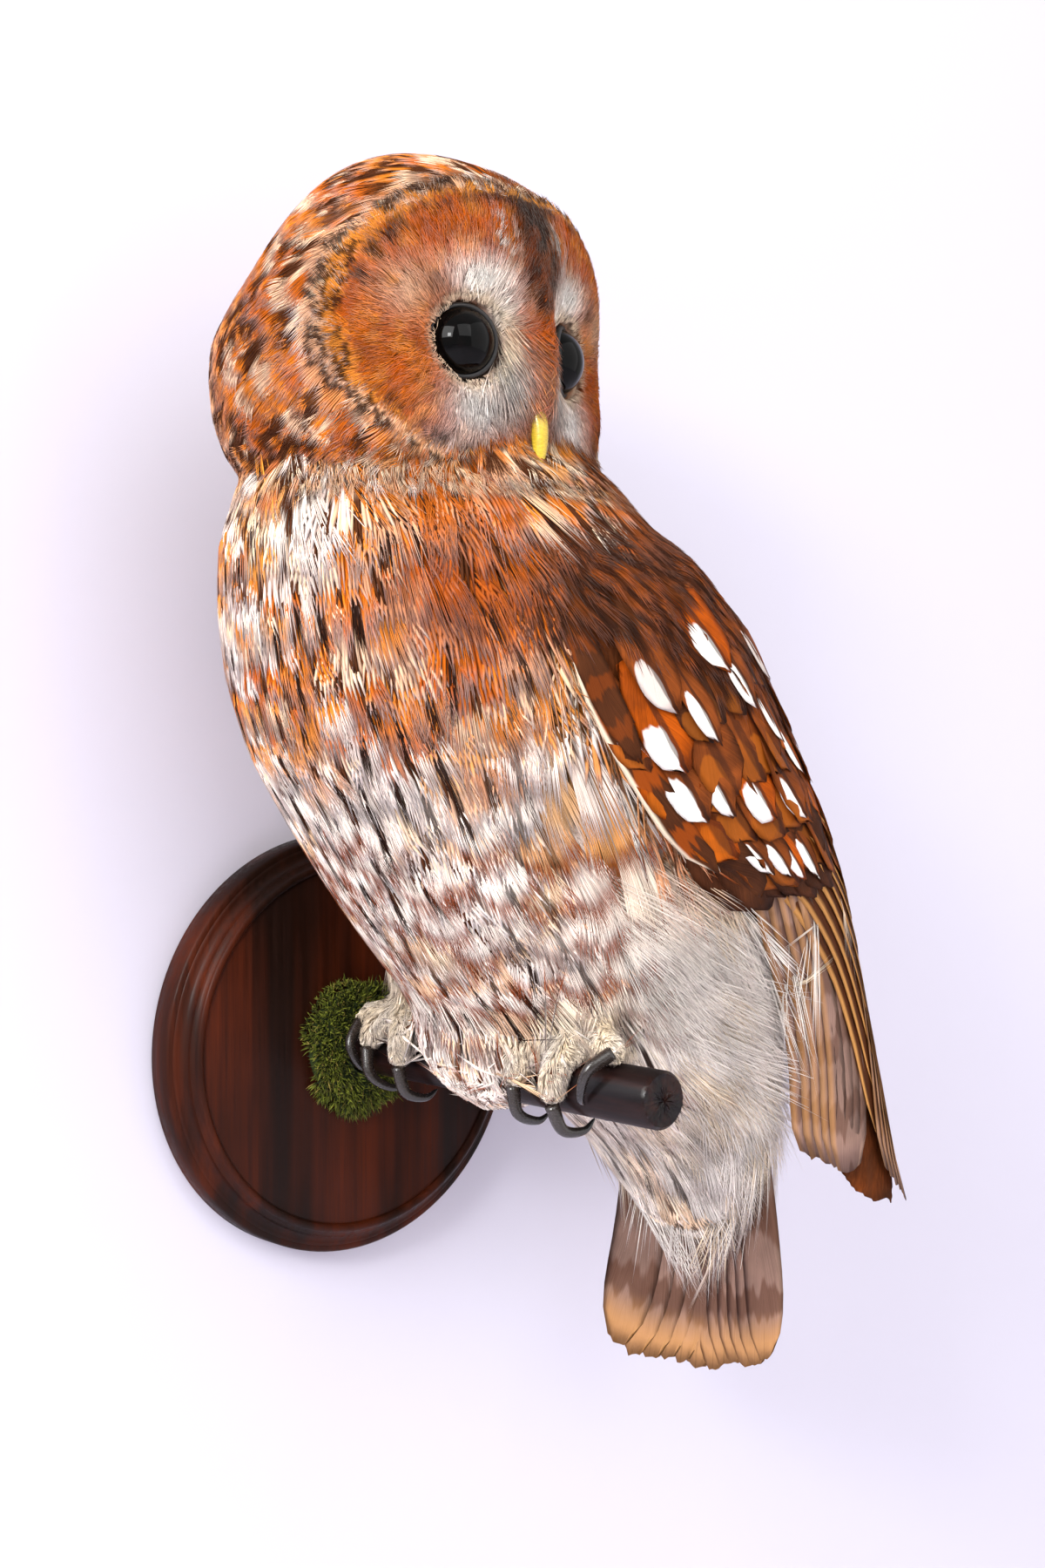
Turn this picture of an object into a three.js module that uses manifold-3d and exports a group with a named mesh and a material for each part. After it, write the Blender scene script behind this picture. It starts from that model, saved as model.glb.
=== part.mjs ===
// A life-size taxidermy tawny owl that grips a round peg on a turned wall plaque.
// Millimetres, +Z up. The origin is the centre of the plaque's back face, which lies on the wall, the plane
// of X and Z. The room is towards -Y. The body faces -X, across the peg, and the head is turned left, to the
// room.
import * as THREE from "three";
import { mergeVertices } from "three/addons/utils/BufferGeometryUtils.js";
import Module from "manifold-3d";

const wasm = await Module();
wasm.setup();

// ---- Driving dimensions ----

const GAP = 0.45; // left between pieces that touch
const SMOOTHING = 0.15; // the most a surface moves when needless facets are taken out
const PLAQUE_RADIUS = 70;
const PLAQUE_THICKNESS = 16.5;
const PLAQUE_SIDE = 9.9; // height of the plain rim before the moulding starts
const PLAQUE_FACE_RADIUS = 59.3;
const PLAQUE_SHOULDER = 1.2; // width of the step inside the plain rim
const PLAQUE_COVE = 5; // from the plain rim in to the cove's inner edge
const PLAQUE_BEAD_HEIGHT = 2.6;
const PLAQUE_QUIRK = 0.8; // width of the step between cove and bead
const PEG_RADIUS = 8.5;
const PEG_END = 163.5; // from the wall
const PEG_CHAMFER = 0.8;
const MOSS_RADIUS = 22;
const MOSS_HEIGHT = 9;
const MOSS_COLLAR = 2; // flat top round the peg
const MOSS_EDGE = 0.5; // its thickness at the rim
const MOSS_DIP = 1.5; // how far the cushion sinks where it meets the peg

const MIDLINE = -95; // the bird's plane of symmetry, as a distance along Y
const TRUNK_TOP = 206;
const TRUNK_BOTTOM = -62;
const NECK_CUT = 168; // height of the cut between trunk and neck
const WING_OUTER = 5; // from the wing's middle surface out, at its root
const WING_OUTER_TAPER = [1.2, 0.6]; // that thickness at its root and its tip, as shares
const WING_INNER = 13; // and in towards the trunk, before the trunk cuts it
const TAIL_HALF_THICKNESS = 2.2;

const HEAD_CENTRE = new THREE.Vector3(-37, MIDLINE, 215);
const HEAD_YAW = THREE.MathUtils.degToRad(11); // turned this much past -Y, towards +X
const HEAD_HALF = { side: 59, front: 51, back: 57, up: 55, down: 52 };
const HEAD_SQUARENESS = 2.05; // exponent of the superellipsoid
const FACE_SQUARENESS = 0.3; // added to the exponent in front
const CHEEK_FULLNESS = 0.45; // added to the exponent low down
const NAPE_SLOPE = 0.45; // taken off the exponent high up behind
const FACE_CUT = 20; // the facial disc is what lies further forward than this
const EYE_HOLLOW = { deep: 12, wide: 20, outwards: 3 }; // the dish round each eye
const DISC_RIM = { high: 2.2, wide: 5, radius: 34 }; // the raised edge of the facial disc
const BRIDGE = { high: 6, wide: 8, middle: -5, tall: 20 }; // the ridge of feathers between the eyes
const EYE_RADIUS = 10.4;
const EYE_SIDE = 20.1;
const EYE_FORWARD = 35.2;
const EYE_UP = -4;

// The bill's lines from root over the bend to tip, each as side, forward and up from the head's centre.
const BILL_UPPER_LINE = [
  [0, 42, -17],
  [0, 50.5, -25.5],
  [0, 42.5, -39.5],
];
const BILL_UPPER_RADIUS = 3.6;
const BILL_LOWER_LINE = [
  [0, 40, -26],
  [0, 44.5, -31],
  [0, 43, -36],
];
const BILL_LOWER_RADIUS = 3.1;
const BILL_TIP_RADIUS = 0.55;

const APRON_CENTRE = [0, MIDLINE + 6, 16];
const APRON_HALF = [20, 33, 28];
const FOOT_Y = { right: -47, left: -132 };
const FOOT_BALL = 8.5; // radius of the ball of the foot, on top of the peg
const FOOT_BALL_SHAPE = [1, 1.15, 0.75];
const FOOT_BALL_RISE = 5;
const SHANK_RADIUS = 9.5; // at the ankle
const SHANK_GROWTH = 4; // thicker by this at the belly
const TOE_RADIUS = 4.6;
const TOE_ARCH = 1.5; // how far a toe's root rises over its ring
const CLAW_RADIUS = 2.1;
const CLAW_TIP_RADIUS = 0.25;

// ---- Materials ----

/** A plain material from its colour, roughness and metalness. */
function material(color, roughness, metalness = 0) {
  return new THREE.MeshStandardMaterial({ color, roughness, metalness });
}

const plumage = material(0xb5743a, 0.85);
const facePlumage = material(0xb8672b, 0.85);
const wingPlumage = material(0x80492a, 0.75);
const tailPlumage = material(0xa98367, 0.75);
const paleDown = material(0xe6d8c0, 0.9);
const glassEye = material(0x050505, 0.05);
const horn = material(0xd8b53a, 0.4);
const clawHorn = material(0x15131a, 0.3);
const stainedWood = material(0x3b1f10, 0.45);
const mossGreen = material(0x4d5a1c, 0.95);

// ---- Solids ----

/** A closed geometry as a solid, its shared vertices merged. */
function solid(geometry) {
  const bare = geometry.clone();
  bare.deleteAttribute("normal");
  bare.deleteAttribute("uv");
  const merged = mergeVertices(bare, 1e-3);
  return new wasm.Manifold(
    new wasm.Mesh({
      numProp: 3,
      vertProperties: merged.attributes.position.array,
      triVerts: new Uint32Array(merged.index.array),
    }),
  );
}

/** A solid as a geometry that a mesh can hold. */
function geometryOf(made) {
  const { vertProperties, triVerts, numProp, numVert } = made.getMesh();
  const points = new Float32Array(numVert * 3);
  for (let i = 0; i < numVert; i++)
    points.set(vertProperties.subarray(i * numProp, i * numProp + 3), i * 3);
  const geometry = new THREE.BufferGeometry();
  geometry.setAttribute("position", new THREE.BufferAttribute(points, 3));
  geometry.setIndex(new THREE.BufferAttribute(triVerts, 1));
  geometry.computeVertexNormals();
  return geometry;
}

/** The largest body of a solid that cutting may have split. */
function largest(made) {
  return made
    .decompose()
    .reduce((best, next) => (next.volume() > best.volume() ? next : best));
}

/**
 * A closed form from a sphere's grid. Place gives the point at a share of the way from one pole to the other
 * and at an angle around. All points at a pole have to meet. Grow moves the whole surface outwards.
 */
function ovoid(around, along, place, grow = 0) {
  const sphere = new THREE.SphereGeometry(1, around, along);
  const at = sphere.attributes.position;
  const seat = new THREE.Vector3();
  for (let i = 0; i < at.count; i++) {
    seat.fromBufferAttribute(at, i);
    const polar = Math.acos(THREE.MathUtils.clamp(seat.y, -1, 1)) / Math.PI;
    const point = place(polar, Math.atan2(-seat.z, seat.x));
    at.setXYZ(i, point.x, point.y, point.z);
  }
  const turned = sphere.index.array;
  if (solid(sphere).volume() < 0)
    for (let i = 0; i < turned.length; i += 3)
      [turned[i + 1], turned[i + 2]] = [turned[i + 2], turned[i + 1]];
  if (grow === 0) return solid(sphere);
  sphere.deleteAttribute("normal");
  sphere.deleteAttribute("uv");
  const skin = mergeVertices(sphere, 1e-3);
  skin.computeVertexNormals();
  const { position, normal } = skin.attributes;
  for (let i = 0; i < position.array.length; i++)
    position.array[i] += normal.array[i] * grow;
  return solid(skin);
}

/** Reads a smooth curve through rows of numbers, whose first column rises, at a value of that column. */
function smoothRows(rows) {
  return (key) => {
    const last = rows.length - 1;
    let i = 0;
    while (i < last - 1 && key > rows[i + 1][0]) i++;
    const [a, b] = [rows[i], rows[i + 1]];
    const share = THREE.MathUtils.clamp((key - a[0]) / (b[0] - a[0]), 0, 1);
    const before = rows[Math.max(i - 1, 0)];
    const after = rows[Math.min(i + 2, last)];
    const span = b[0] - a[0];
    return a.slice(1).map((from, k) => {
      const to = b[k + 1];
      const slopeIn = ((to - before[k + 1]) / (b[0] - before[0])) * span;
      const slopeOut = ((after[k + 1] - from) / (after[0] - a[0])) * span;
      const [s2, s3] = [share * share, share ** 3];
      return (
        from * (2 * s3 - 3 * s2 + 1) +
        slopeIn * (s3 - 2 * s2 + share) +
        to * (3 * s2 - 2 * s3) +
        slopeOut * (s3 - s2)
      );
    });
  };
}

/** A half-space as a box: everything on one side of a coordinate. */
function halfSpace(axis, from, sign) {
  const size = 1000;
  const box = new THREE.BoxGeometry(size, size, size);
  const shift = new THREE.Vector3();
  shift.setComponent(axis, from + (sign * size) / 2);
  box.translate(shift.x, shift.y, shift.z);
  return solid(box);
}

/** A form's width at a share of its length: 1 in the middle, 0 at both ends, squarer for a higher power. */
function roundedEnds(share, power) {
  return Math.sqrt(Math.max(0, 1 - (2 * share - 1) ** power));
}

/** The share of a form's length at a polar share of its grid, with closer steps towards both ends. */
function lengthShare(polar) {
  return (1 - Math.cos(polar * Math.PI)) / 2;
}

const BAR_FRAMES = 200; // how finely a bar's turning frame is followed
const BAR_ENDS = 8; // how square a bar's ends are

/** A round bar along a curve, with a radius that changes along it and round ends. */
function taperedBar(curve, radiusAt, around, along, grow = 0) {
  const frames = curve.computeFrenetFrames(BAR_FRAMES);
  const place = (polar, angle) => {
    const share = lengthShare(polar);
    const index = Math.round(share * BAR_FRAMES);
    const radius = radiusAt(share) * roundedEnds(share, BAR_ENDS);
    return curve
      .getPoint(share)
      .addScaledVector(frames.normals[index], radius * Math.cos(angle))
      .addScaledVector(frames.binormals[index], radius * Math.sin(angle));
  };
  return ovoid(around, along, place, grow);
}

// ---- The mount ----

const PLAQUE_SEGMENTS = 36;
const PEG_SEGMENTS = 24;
const MOSS_SEGMENTS = 20;

/** A turned profile of [radius, distance from the wall] pairs, closed on the axis. */
function turned(profile, segments) {
  const points = profile.map(([r, h]) => new THREE.Vector2(r, h));
  const geometry = new THREE.LatheGeometry(points, segments);
  geometry.rotateX(Math.PI); // the lathe's +Y axis points out from the wall, along -Y
  return solid(geometry);
}

/** The plaque: a plain rim, then a cove and a bead up to the flat face. */
function plaque() {
  const profile = [
    [0, 0],
    [PLAQUE_RADIUS, 0],
    [PLAQUE_RADIUS, PLAQUE_SIDE],
  ];
  const steps = 3;
  const coveOuter = PLAQUE_RADIUS - PLAQUE_SHOULDER;
  const coveInner = PLAQUE_RADIUS - PLAQUE_COVE;
  const coveTop = PLAQUE_THICKNESS - PLAQUE_BEAD_HEIGHT;
  for (let i = 0; i <= steps; i++) {
    const turn = (i / steps) * (Math.PI / 2);
    profile.push([
      coveOuter - (coveOuter - coveInner) * Math.sin(turn),
      PLAQUE_SIDE + (coveTop - PLAQUE_SIDE) * (1 - Math.cos(turn)),
    ]);
  }
  const beadOuter = coveInner - PLAQUE_QUIRK;
  for (let i = 0; i <= steps; i++) {
    const turn = (i / steps) * (Math.PI / 2);
    profile.push([
      beadOuter - (beadOuter - PLAQUE_FACE_RADIUS) * (1 - Math.cos(turn)),
      coveTop + PLAQUE_BEAD_HEIGHT * Math.sin(turn),
    ]);
  }
  profile.push([0, PLAQUE_THICKNESS]);
  return turned(profile, PLAQUE_SEGMENTS);
}

/** The peg that stands straight out of the plaque, grown all round by a clearance. */
function peg(grow = 0) {
  const radius = PEG_RADIUS + grow;
  const from = PLAQUE_THICKNESS + GAP - grow;
  return turned(
    [
      [0, from],
      [radius, from],
      [radius, PEG_END - PEG_CHAMFER],
      [radius - PEG_CHAMFER, PEG_END + grow],
      [0, PEG_END + grow],
    ],
    PEG_SEGMENTS,
  );
}

/** The cushion of moss round the root of the peg. */
function moss() {
  const inner = PEG_RADIUS + GAP;
  const foot = PLAQUE_THICKNESS + GAP;
  const profile = [[inner, foot]];
  const steps = 5;
  for (let i = 0; i <= steps; i++) {
    const turn = (i / steps) * (Math.PI / 2);
    profile.push([
      inner + MOSS_COLLAR + (MOSS_RADIUS - inner - MOSS_COLLAR) * Math.cos(turn),
      foot + MOSS_EDGE + (MOSS_HEIGHT - MOSS_EDGE) * Math.sin(turn),
    ]);
  }
  profile.push([inner, foot + MOSS_HEIGHT - MOSS_DIP]);
  profile.push([inner, foot]);
  return turned(profile, MOSS_SEGMENTS);
}

// ---- Trunk and neck ----

// Height, X of the section's widest line, depth in front of it, depth behind it, and half width along Y.
const trunkAt = smoothRows([
  [TRUNK_BOTTOM, 77, 13, 14, 26],
  [-40, 71, 13, 19, 33],
  [-15, 61, 28, 37, 42],
  [10, 43, 53, 55, 52],
  [36, 25, 62, 71, 60],
  [62, 11, 67, 80, 66],
  [88, -2, 73, 86, 70],
  [115, -12, 75, 84, 72],
  [153, -25, 67, 72, 66],
  [178, -32, 57, 60, 53],
  [TRUNK_TOP, -36, 38, 42, 38],
]);
const TRUNK_CAP = 10; // how square the trunk's ends are

/** Trunk and neck as one form, before it is parted. */
function wholeBody(grow = 0) {
  const middle = (TRUNK_TOP + TRUNK_BOTTOM) / 2;
  const half = (TRUNK_TOP - TRUNK_BOTTOM) / 2;
  const place = (polar, angle) => {
    const share = Math.cos(polar * Math.PI);
    const height = middle + half * share;
    const [middleX, front, back, width] = trunkAt(height);
    const cap = Math.sqrt(Math.max(0, 1 - Math.abs(share) ** TRUNK_CAP));
    const along = Math.cos(angle);
    return new THREE.Vector3(
      middleX + (along > 0 ? back : front) * cap * along,
      MIDLINE + width * cap * Math.sin(angle),
      height,
    );
  };
  return ovoid(28, 18, place, grow);
}

/** The belly feathers that hang in front of the peg, between the feet. */
function apron() {
  const geometry = new THREE.SphereGeometry(1, 14, 10);
  geometry.scale(...APRON_HALF);
  geometry.translate(...APRON_CENTRE);
  return solid(geometry);
}

// ---- Head ----

/** A soft bump that is 1 at the middle and falls away over a width. */
function bump(distance, width) {
  return Math.exp(-((distance / width) ** 2));
}

/** How far the head's surface lies from its centre in a direction of side, forward and up. */
function headReach(side, forward, up) {
  const { side: a, front, back, up: crown, down } = HEAD_HALF;
  const { smoothstep } = THREE.MathUtils;
  const n =
    HEAD_SQUARENESS +
    FACE_SQUARENESS * smoothstep(forward, 0, 0.6) +
    CHEEK_FULLNESS * smoothstep(-up, 0, 0.6) -
    NAPE_SLOPE * smoothstep(-forward, -0.2, 0.35) * smoothstep(up, -0.1, 0.3);
  const sum =
    Math.abs(side / a) ** n +
    Math.abs(forward / (forward > 0 ? front : back)) ** n +
    Math.abs(up / (up > 0 ? crown : down)) ** n;
  const reach = sum ** (-1 / n);
  if (forward <= 0) return reach;
  const [s, u] = [Math.abs(side * reach), up * reach];
  const facing = smoothstep(forward, 0.25, 0.75);
  const fromEye = Math.hypot(s - EYE_SIDE - EYE_HOLLOW.outwards, (u - EYE_UP) * 0.9);
  const hollow = -EYE_HOLLOW.deep * bump(fromEye, EYE_HOLLOW.wide);
  const rim = DISC_RIM.high * bump(fromEye - DISC_RIM.radius, DISC_RIM.wide) * smoothstep(s, 6, 20);
  const bridge = BRIDGE.high * bump(s, BRIDGE.wide) * bump(u - BRIDGE.middle, BRIDGE.tall);
  return reach + facing * (hollow + rim + bridge);
}

/** The head's whole form, grown by a clearance. */
function wholeHead(grow = 0) {
  const place = (polar, angle) => {
    const level = Math.sin(polar * Math.PI);
    const [side, forward, up] = [
      level * Math.sin(angle),
      level * Math.cos(angle),
      Math.cos(polar * Math.PI),
    ];
    const reach = headReach(side, forward, up);
    return headPoint(side * reach, forward * reach, up * reach);
  };
  return ovoid(28, 18, place, grow);
}

/** A point given by side, forward and up from the head's centre. */
function headPoint(side, forward, up) {
  const [turn, keep] = [Math.sin(HEAD_YAW), Math.cos(HEAD_YAW)];
  return new THREE.Vector3(
    HEAD_CENTRE.x + side * keep + forward * turn,
    HEAD_CENTRE.y - forward * keep + side * turn,
    HEAD_CENTRE.z + up,
  );
}

/** A half-space square to where the face looks: everything further forward than a distance. */
function beforeHead(forward) {
  const size = 400;
  const box = new THREE.BoxGeometry(size, size, size);
  box.translate(0, -forward - size / 2, 0);
  box.rotateZ(HEAD_YAW);
  box.translate(HEAD_CENTRE.x, HEAD_CENTRE.y, HEAD_CENTRE.z);
  return solid(box);
}

/** An eyeball. Hand is -1 for the owl's right and 1 for its left. */
function eye(hand, grow = 0) {
  const ball = new THREE.SphereGeometry(EYE_RADIUS + grow, 14, 10);
  const seat = headPoint(hand * EYE_SIDE, EYE_FORWARD, EYE_UP);
  ball.translate(seat.x, seat.y, seat.z);
  return solid(ball);
}

/** A half of the bill, from its line on the head and its radius along it. */
function billHalf(line, radiusAt, around, along, grow) {
  const path = new THREE.QuadraticBezierCurve3(...line.map((point) => headPoint(...point)));
  return taperedBar(path, radiusAt, around, along, grow);
}

/** The hooked upper half of the bill. */
function billUpper(grow = 0) {
  const radiusAt = (share) => BILL_UPPER_RADIUS * (1 - share) ** 0.6 + BILL_TIP_RADIUS;
  return billHalf(BILL_UPPER_LINE, radiusAt, 10, 10, grow);
}

/** The short lower half, tucked under the hook. */
function billLower(grow = 0) {
  const radiusAt = (share) => BILL_LOWER_RADIUS * (1 - share) + BILL_TIP_RADIUS;
  return billHalf(BILL_LOWER_LINE, radiusAt, 8, 6, grow);
}

// ---- Wings ----

// Share of the wing's length, the edge that lies on the back and the edge that lies on the flank, each as X,
// distance out from the midline and Z, and how far the wing's middle stands out from the chord between them.
const wingAt = smoothRows([
  [0, -25, 20, 184, -52, 62, 158, 6],
  [0.2, 38, 9, 165, -38, 73, 115, 27],
  [0.4, 80, 8, 121, -2, 74, 74, 24],
  [0.6, 104, 11, 66, 42, 64, 46, 20],
  [0.8, 123, 21, 12, 74, 51, 6, 13],
  [1, 141, 40, -60, 85, 46, -42, 5],
]);
const WING_OUTWARDS = [0.45, 0.85, 0.15]; // back, out from the midline, up
const WING_THINS = [0.47, 0.82]; // shares of its length between which the wing leaves the trunk and thins
const WING_INNER_TIP = 1.6; // depth of its inner side from there on
const WING_ENDS = 10; // how square its ends are

/** How deep the inner side of a wing lies under its middle surface. */
function innerAt(share) {
  const thin = THREE.MathUtils.smoothstep(share, ...WING_THINS);
  return THREE.MathUtils.lerp(WING_INNER, WING_INNER_TIP, thin);
}

/** A folded wing, as deep as the trunk will cut it. Hand is -1 for the right wing and 1 for the left. */
function wing(hand, grow = 0) {
  const [outX, outY, outZ] = WING_OUTWARDS;
  const outwards = new THREE.Vector3(outX, -outY * hand, outZ).normalize();
  const place = (polar, angle) => {
    const share = lengthShare(polar);
    const [dx, dy, dz, vx, vy, vz, bulge] = wingAt(share);
    const dorsal = new THREE.Vector3(dx, MIDLINE - hand * dy, dz);
    const ventral = new THREE.Vector3(vx, MIDLINE - hand * vy, vz);
    const round = roundedEnds(share, WING_ENDS);
    const chord = Math.cos(angle) * round;
    const middle = dorsal.clone().add(ventral).multiplyScalar(0.5);
    const halfChord = dorsal.clone().sub(ventral).multiplyScalar(0.5);
    const across = Math.sin(angle);
    const outer = WING_OUTER * THREE.MathUtils.lerp(...WING_OUTER_TAPER, share);
    const depth = across > 0 ? outer : innerAt(share);
    const out = bulge * (1 - chord * chord) + depth * round * across;
    return middle.addScaledVector(halfChord, chord).addScaledVector(outwards, out);
  };
  return ovoid(14, 14, place, grow);
}

// ---- Tail ----

// Share of the tail's length, then X and Z of its middle and half its width.
const tailAt = smoothRows([
  [0, 66, 52, 22],
  [0.35, 80, -6, 34],
  [0.7, 84, -66, 38],
  [1, 80, -108, 39],
]);
const TAIL_CUP = 6; // how far the tail's edges come forward of its middle
const TAIL_SLANT = 7; // how much lower its end is by the wall than at the middle
const TAIL_ENDS = 12; // how square its ends are

/** The closed tail, hollow towards the front. */
function tail(grow = 0) {
  const place = (polar, angle) => {
    const share = lengthShare(polar);
    const [x, z, width] = tailAt(share);
    const round = roundedEnds(share, TAIL_ENDS);
    const across = Math.cos(angle) * round;
    const thick = TAIL_HALF_THICKNESS * round * Math.sin(angle);
    return new THREE.Vector3(
      x - TAIL_CUP * across * across + thick,
      MIDLINE + width * across,
      z - TAIL_SLANT * across * share ** 4,
    );
  };
  return ovoid(16, 10, place, grow);
}

// ---- Legs and feet ----

/** The feathered shank from the peg up into the belly. */
function leg(y, grow = 0) {
  const path = new THREE.QuadraticBezierCurve3(
    new THREE.Vector3(1, y, PEG_RADIUS + 9),
    new THREE.Vector3(0, y, 34),
    new THREE.Vector3(10, MIDLINE + (y - MIDLINE) * 0.8, 52),
  );
  return taperedBar(path, (share) => SHANK_RADIUS + SHANK_GROWTH * share, 10, 6, grow);
}

/** A point on a ring round the peg: angle 0 is straight up, and it grows towards the front. */
function roundPeg(y, radius, degrees) {
  const turn = THREE.MathUtils.degToRad(degrees);
  return new THREE.Vector3(-radius * Math.sin(turn), y, radius * Math.cos(turn));
}

/** The line of a toe over the peg. */
function toePath(y, [end, sign, reach]) {
  const radius = PEG_RADIUS + TOE_RADIUS + 0.2;
  const points = [0, 0.33, 0.66, 1].map((share) =>
    roundPeg(y + end * Math.min(1, share * 1.5), radius, sign * reach * share),
  );
  points[0].z += TOE_ARCH;
  return new THREE.CatmullRomCurve3(points);
}

/** The line of a claw, which carries on from its toe's end and hooks back to the peg. */
function clawPath(y, [end, sign, reach, tipEnd]) {
  const radius = PEG_RADIUS + TOE_RADIUS;
  const rings = [
    [0, radius + 0.5, -4],
    [0.3, radius + 1.8, 30],
    [0.7, radius - 0.3, 60],
    [1, PEG_RADIUS + 1.1, 80],
  ];
  const points = rings.map(([share, ring, past]) =>
    roundPeg(y + end + (tipEnd - end) * share, ring, sign * (reach + past)),
  );
  return new THREE.CatmullRomCurve3(points);
}

// Each foot's toes: the offset of the toe's end from the foot's middle along Y, its side of the peg (1 is in
// front), how far round the peg it reaches in degrees, and the offset of its claw's tip.
const TOES = {
  right: [
    [17, 1, 48, 12],
    [8, 1, 82, 0],
    [-9, 1, 100, -12],
    [2, -1, 78, 2],
  ],
  left: [
    [19, 1, 96, 17],
    [2, 1, 112, 0],
    [-16, 1, 30, -8],
    [0, -1, 78, 0],
  ],
};

/** A foot: the ball on top of the peg and its four toes, cut clear of the peg. */
function foot(y, toes, grow = 0) {
  const ball = new THREE.SphereGeometry(FOOT_BALL + grow, 8, 5);
  ball.scale(...FOOT_BALL_SHAPE);
  ball.translate(0, y, PEG_RADIUS + FOOT_BALL_RISE);
  let made = solid(ball);
  for (const toe of toes) {
    const radiusAt = (share) => TOE_RADIUS * (1.1 - 0.25 * share);
    made = made.add(taperedBar(toePath(y, toe), radiusAt, 7, 5, grow));
  }
  return grow ? made : made.subtract(peg(GAP));
}

/** One claw. */
function claw(y, toe, grow = 0) {
  const radiusAt = (share) => CLAW_RADIUS * (1 - share) ** 0.7 + CLAW_TIP_RADIUS;
  return taperedBar(clawPath(y, toe), radiusAt, 6, 8, grow);
}

// ---- The whole thing ----

const root = new THREE.Group();

/** Adds one named mesh to the model. */
function add(name, made, look) {
  const mesh = new THREE.Mesh(geometryOf(largest(made).simplify(SMOOTHING)), look);
  mesh.name = name;
  root.add(mesh);
  return made;
}

const HANDS = { right: -1, left: 1 };

add("plaque", plaque(), stainedWood);
add("peg", peg(), stainedWood);
add("moss", moss(), mossGreen);

const eyes = {};
for (const [side, hand] of Object.entries(HANDS)) {
  eyes[side] = eye(hand, GAP);
  add(`eye_${side}`, eye(hand), glassEye);
}
add("bill_upper", billUpper(), horn);
add("bill_lower", billLower().subtract(billUpper(GAP)), horn);

const head = wholeHead()
  .subtract(eyes.right)
  .subtract(eyes.left)
  .subtract(billUpper(GAP))
  .subtract(billLower(GAP));
add("facial_disc", head.intersect(beforeHead(FACE_CUT)), facePlumage);
add("head", head.subtract(beforeHead(FACE_CUT - GAP)), plumage);

let body = wholeBody()
  .add(apron())
  .subtract(wholeHead(GAP))
  .subtract(billUpper(GAP))
  .subtract(billLower(GAP))
  .subtract(peg(GAP))
  .subtract(tail(2 * GAP));
for (const [side, y] of Object.entries(FOOT_Y)) {
  const toes = TOES[side];
  const around = foot(y, toes, GAP);
  const shank = leg(y).subtract(around).subtract(peg(GAP));
  add(`leg_${side}`, shank, paleDown);
  body = body.subtract(leg(y, GAP)).subtract(around);
  let sole = foot(y, toes).subtract(moss());
  toes.forEach((toe, i) => {
    const room = claw(y, toe, GAP);
    sole = sole.subtract(room);
    body = body.subtract(room);
    add(`claw_${side}_${i + 1}`, claw(y, toe).subtract(peg(GAP)), clawHorn);
  });
  add(`foot_${side}`, sole, paleDown);
}
add("trunk", body.intersect(halfSpace(2, NECK_CUT, -1)), plumage);
add("neck", body.intersect(halfSpace(2, NECK_CUT + GAP, 1)), plumage);
for (const [side, hand] of Object.entries(HANDS)) {
  const folded = wing(hand).subtract(wholeBody(GAP)).subtract(wholeHead(GAP));
  add(`wing_${side}`, folded, wingPlumage);
}
add("tail", tail(), tailPlumage);

export default root;
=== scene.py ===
"""The looks of a mounted tawny owl: its skin, plumage, glass eyes and horn, and the turned mount that it
grips."""

import logging
import math
from dataclasses import dataclass, field
from enum import Enum
from typing import Callable, ClassVar, Sequence

import bmesh
import bpy
import numpy as np
from mathutils import Matrix, Vector
from mathutils.bvhtree import BVHTree


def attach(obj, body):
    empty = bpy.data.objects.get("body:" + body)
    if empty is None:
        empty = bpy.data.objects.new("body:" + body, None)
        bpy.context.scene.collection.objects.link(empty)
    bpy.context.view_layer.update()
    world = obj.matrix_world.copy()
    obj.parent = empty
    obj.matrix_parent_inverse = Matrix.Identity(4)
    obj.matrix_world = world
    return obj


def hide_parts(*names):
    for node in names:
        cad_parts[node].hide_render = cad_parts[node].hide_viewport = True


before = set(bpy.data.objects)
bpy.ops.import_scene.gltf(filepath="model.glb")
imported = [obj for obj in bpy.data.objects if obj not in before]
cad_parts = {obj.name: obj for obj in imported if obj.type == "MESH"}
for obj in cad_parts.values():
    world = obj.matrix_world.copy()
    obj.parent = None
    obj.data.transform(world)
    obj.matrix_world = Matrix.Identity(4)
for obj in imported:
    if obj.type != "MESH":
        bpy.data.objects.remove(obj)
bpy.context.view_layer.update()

LOG = logging.getLogger("owl")
MM = 0.001
SEED = 7
BODY = "root"
Array = np.ndarray
Pair = tuple[float, float]
Triple = tuple[float, float, float]
Socket = bpy.types.NodeSocket
Toe = tuple[float, int, float, float]


# ---- Small helpers ----


def unit(rows: Array) -> Array:
    """Each row of vectors at length one."""
    return rows / np.maximum(np.linalg.norm(rows, axis=-1, keepdims=True), 1e-12)


def smooth(value: Array, low: float, high: float) -> Array:
    """A soft step from 0 at low to 1 at high."""
    share = np.clip((value - low) / (high - low), 0.0, 1.0)
    return share * share * (3.0 - 2.0 * share)


def across(direction: Array, normal: Array) -> Array:
    """The part of each direction that lies along the surface, at length one."""
    flat = direction - normal * np.sum(direction * normal, axis=-1, keepdims=True)
    return unit(flat)


def tone(code: int) -> Triple:
    """A colour written as 0xRRGGBB, as linear light.

    Args:
        code: The colour as it shows on a screen.

    Returns:
        Red, green and blue from 0 to 1.
    """
    parts = [((code >> shift) & 255) / 255 for shift in (16, 8, 0)]
    return tuple(c / 12.92 if c <= 0.04045 else ((c + 0.055) / 1.055) ** 2.4 for c in parts)


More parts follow.
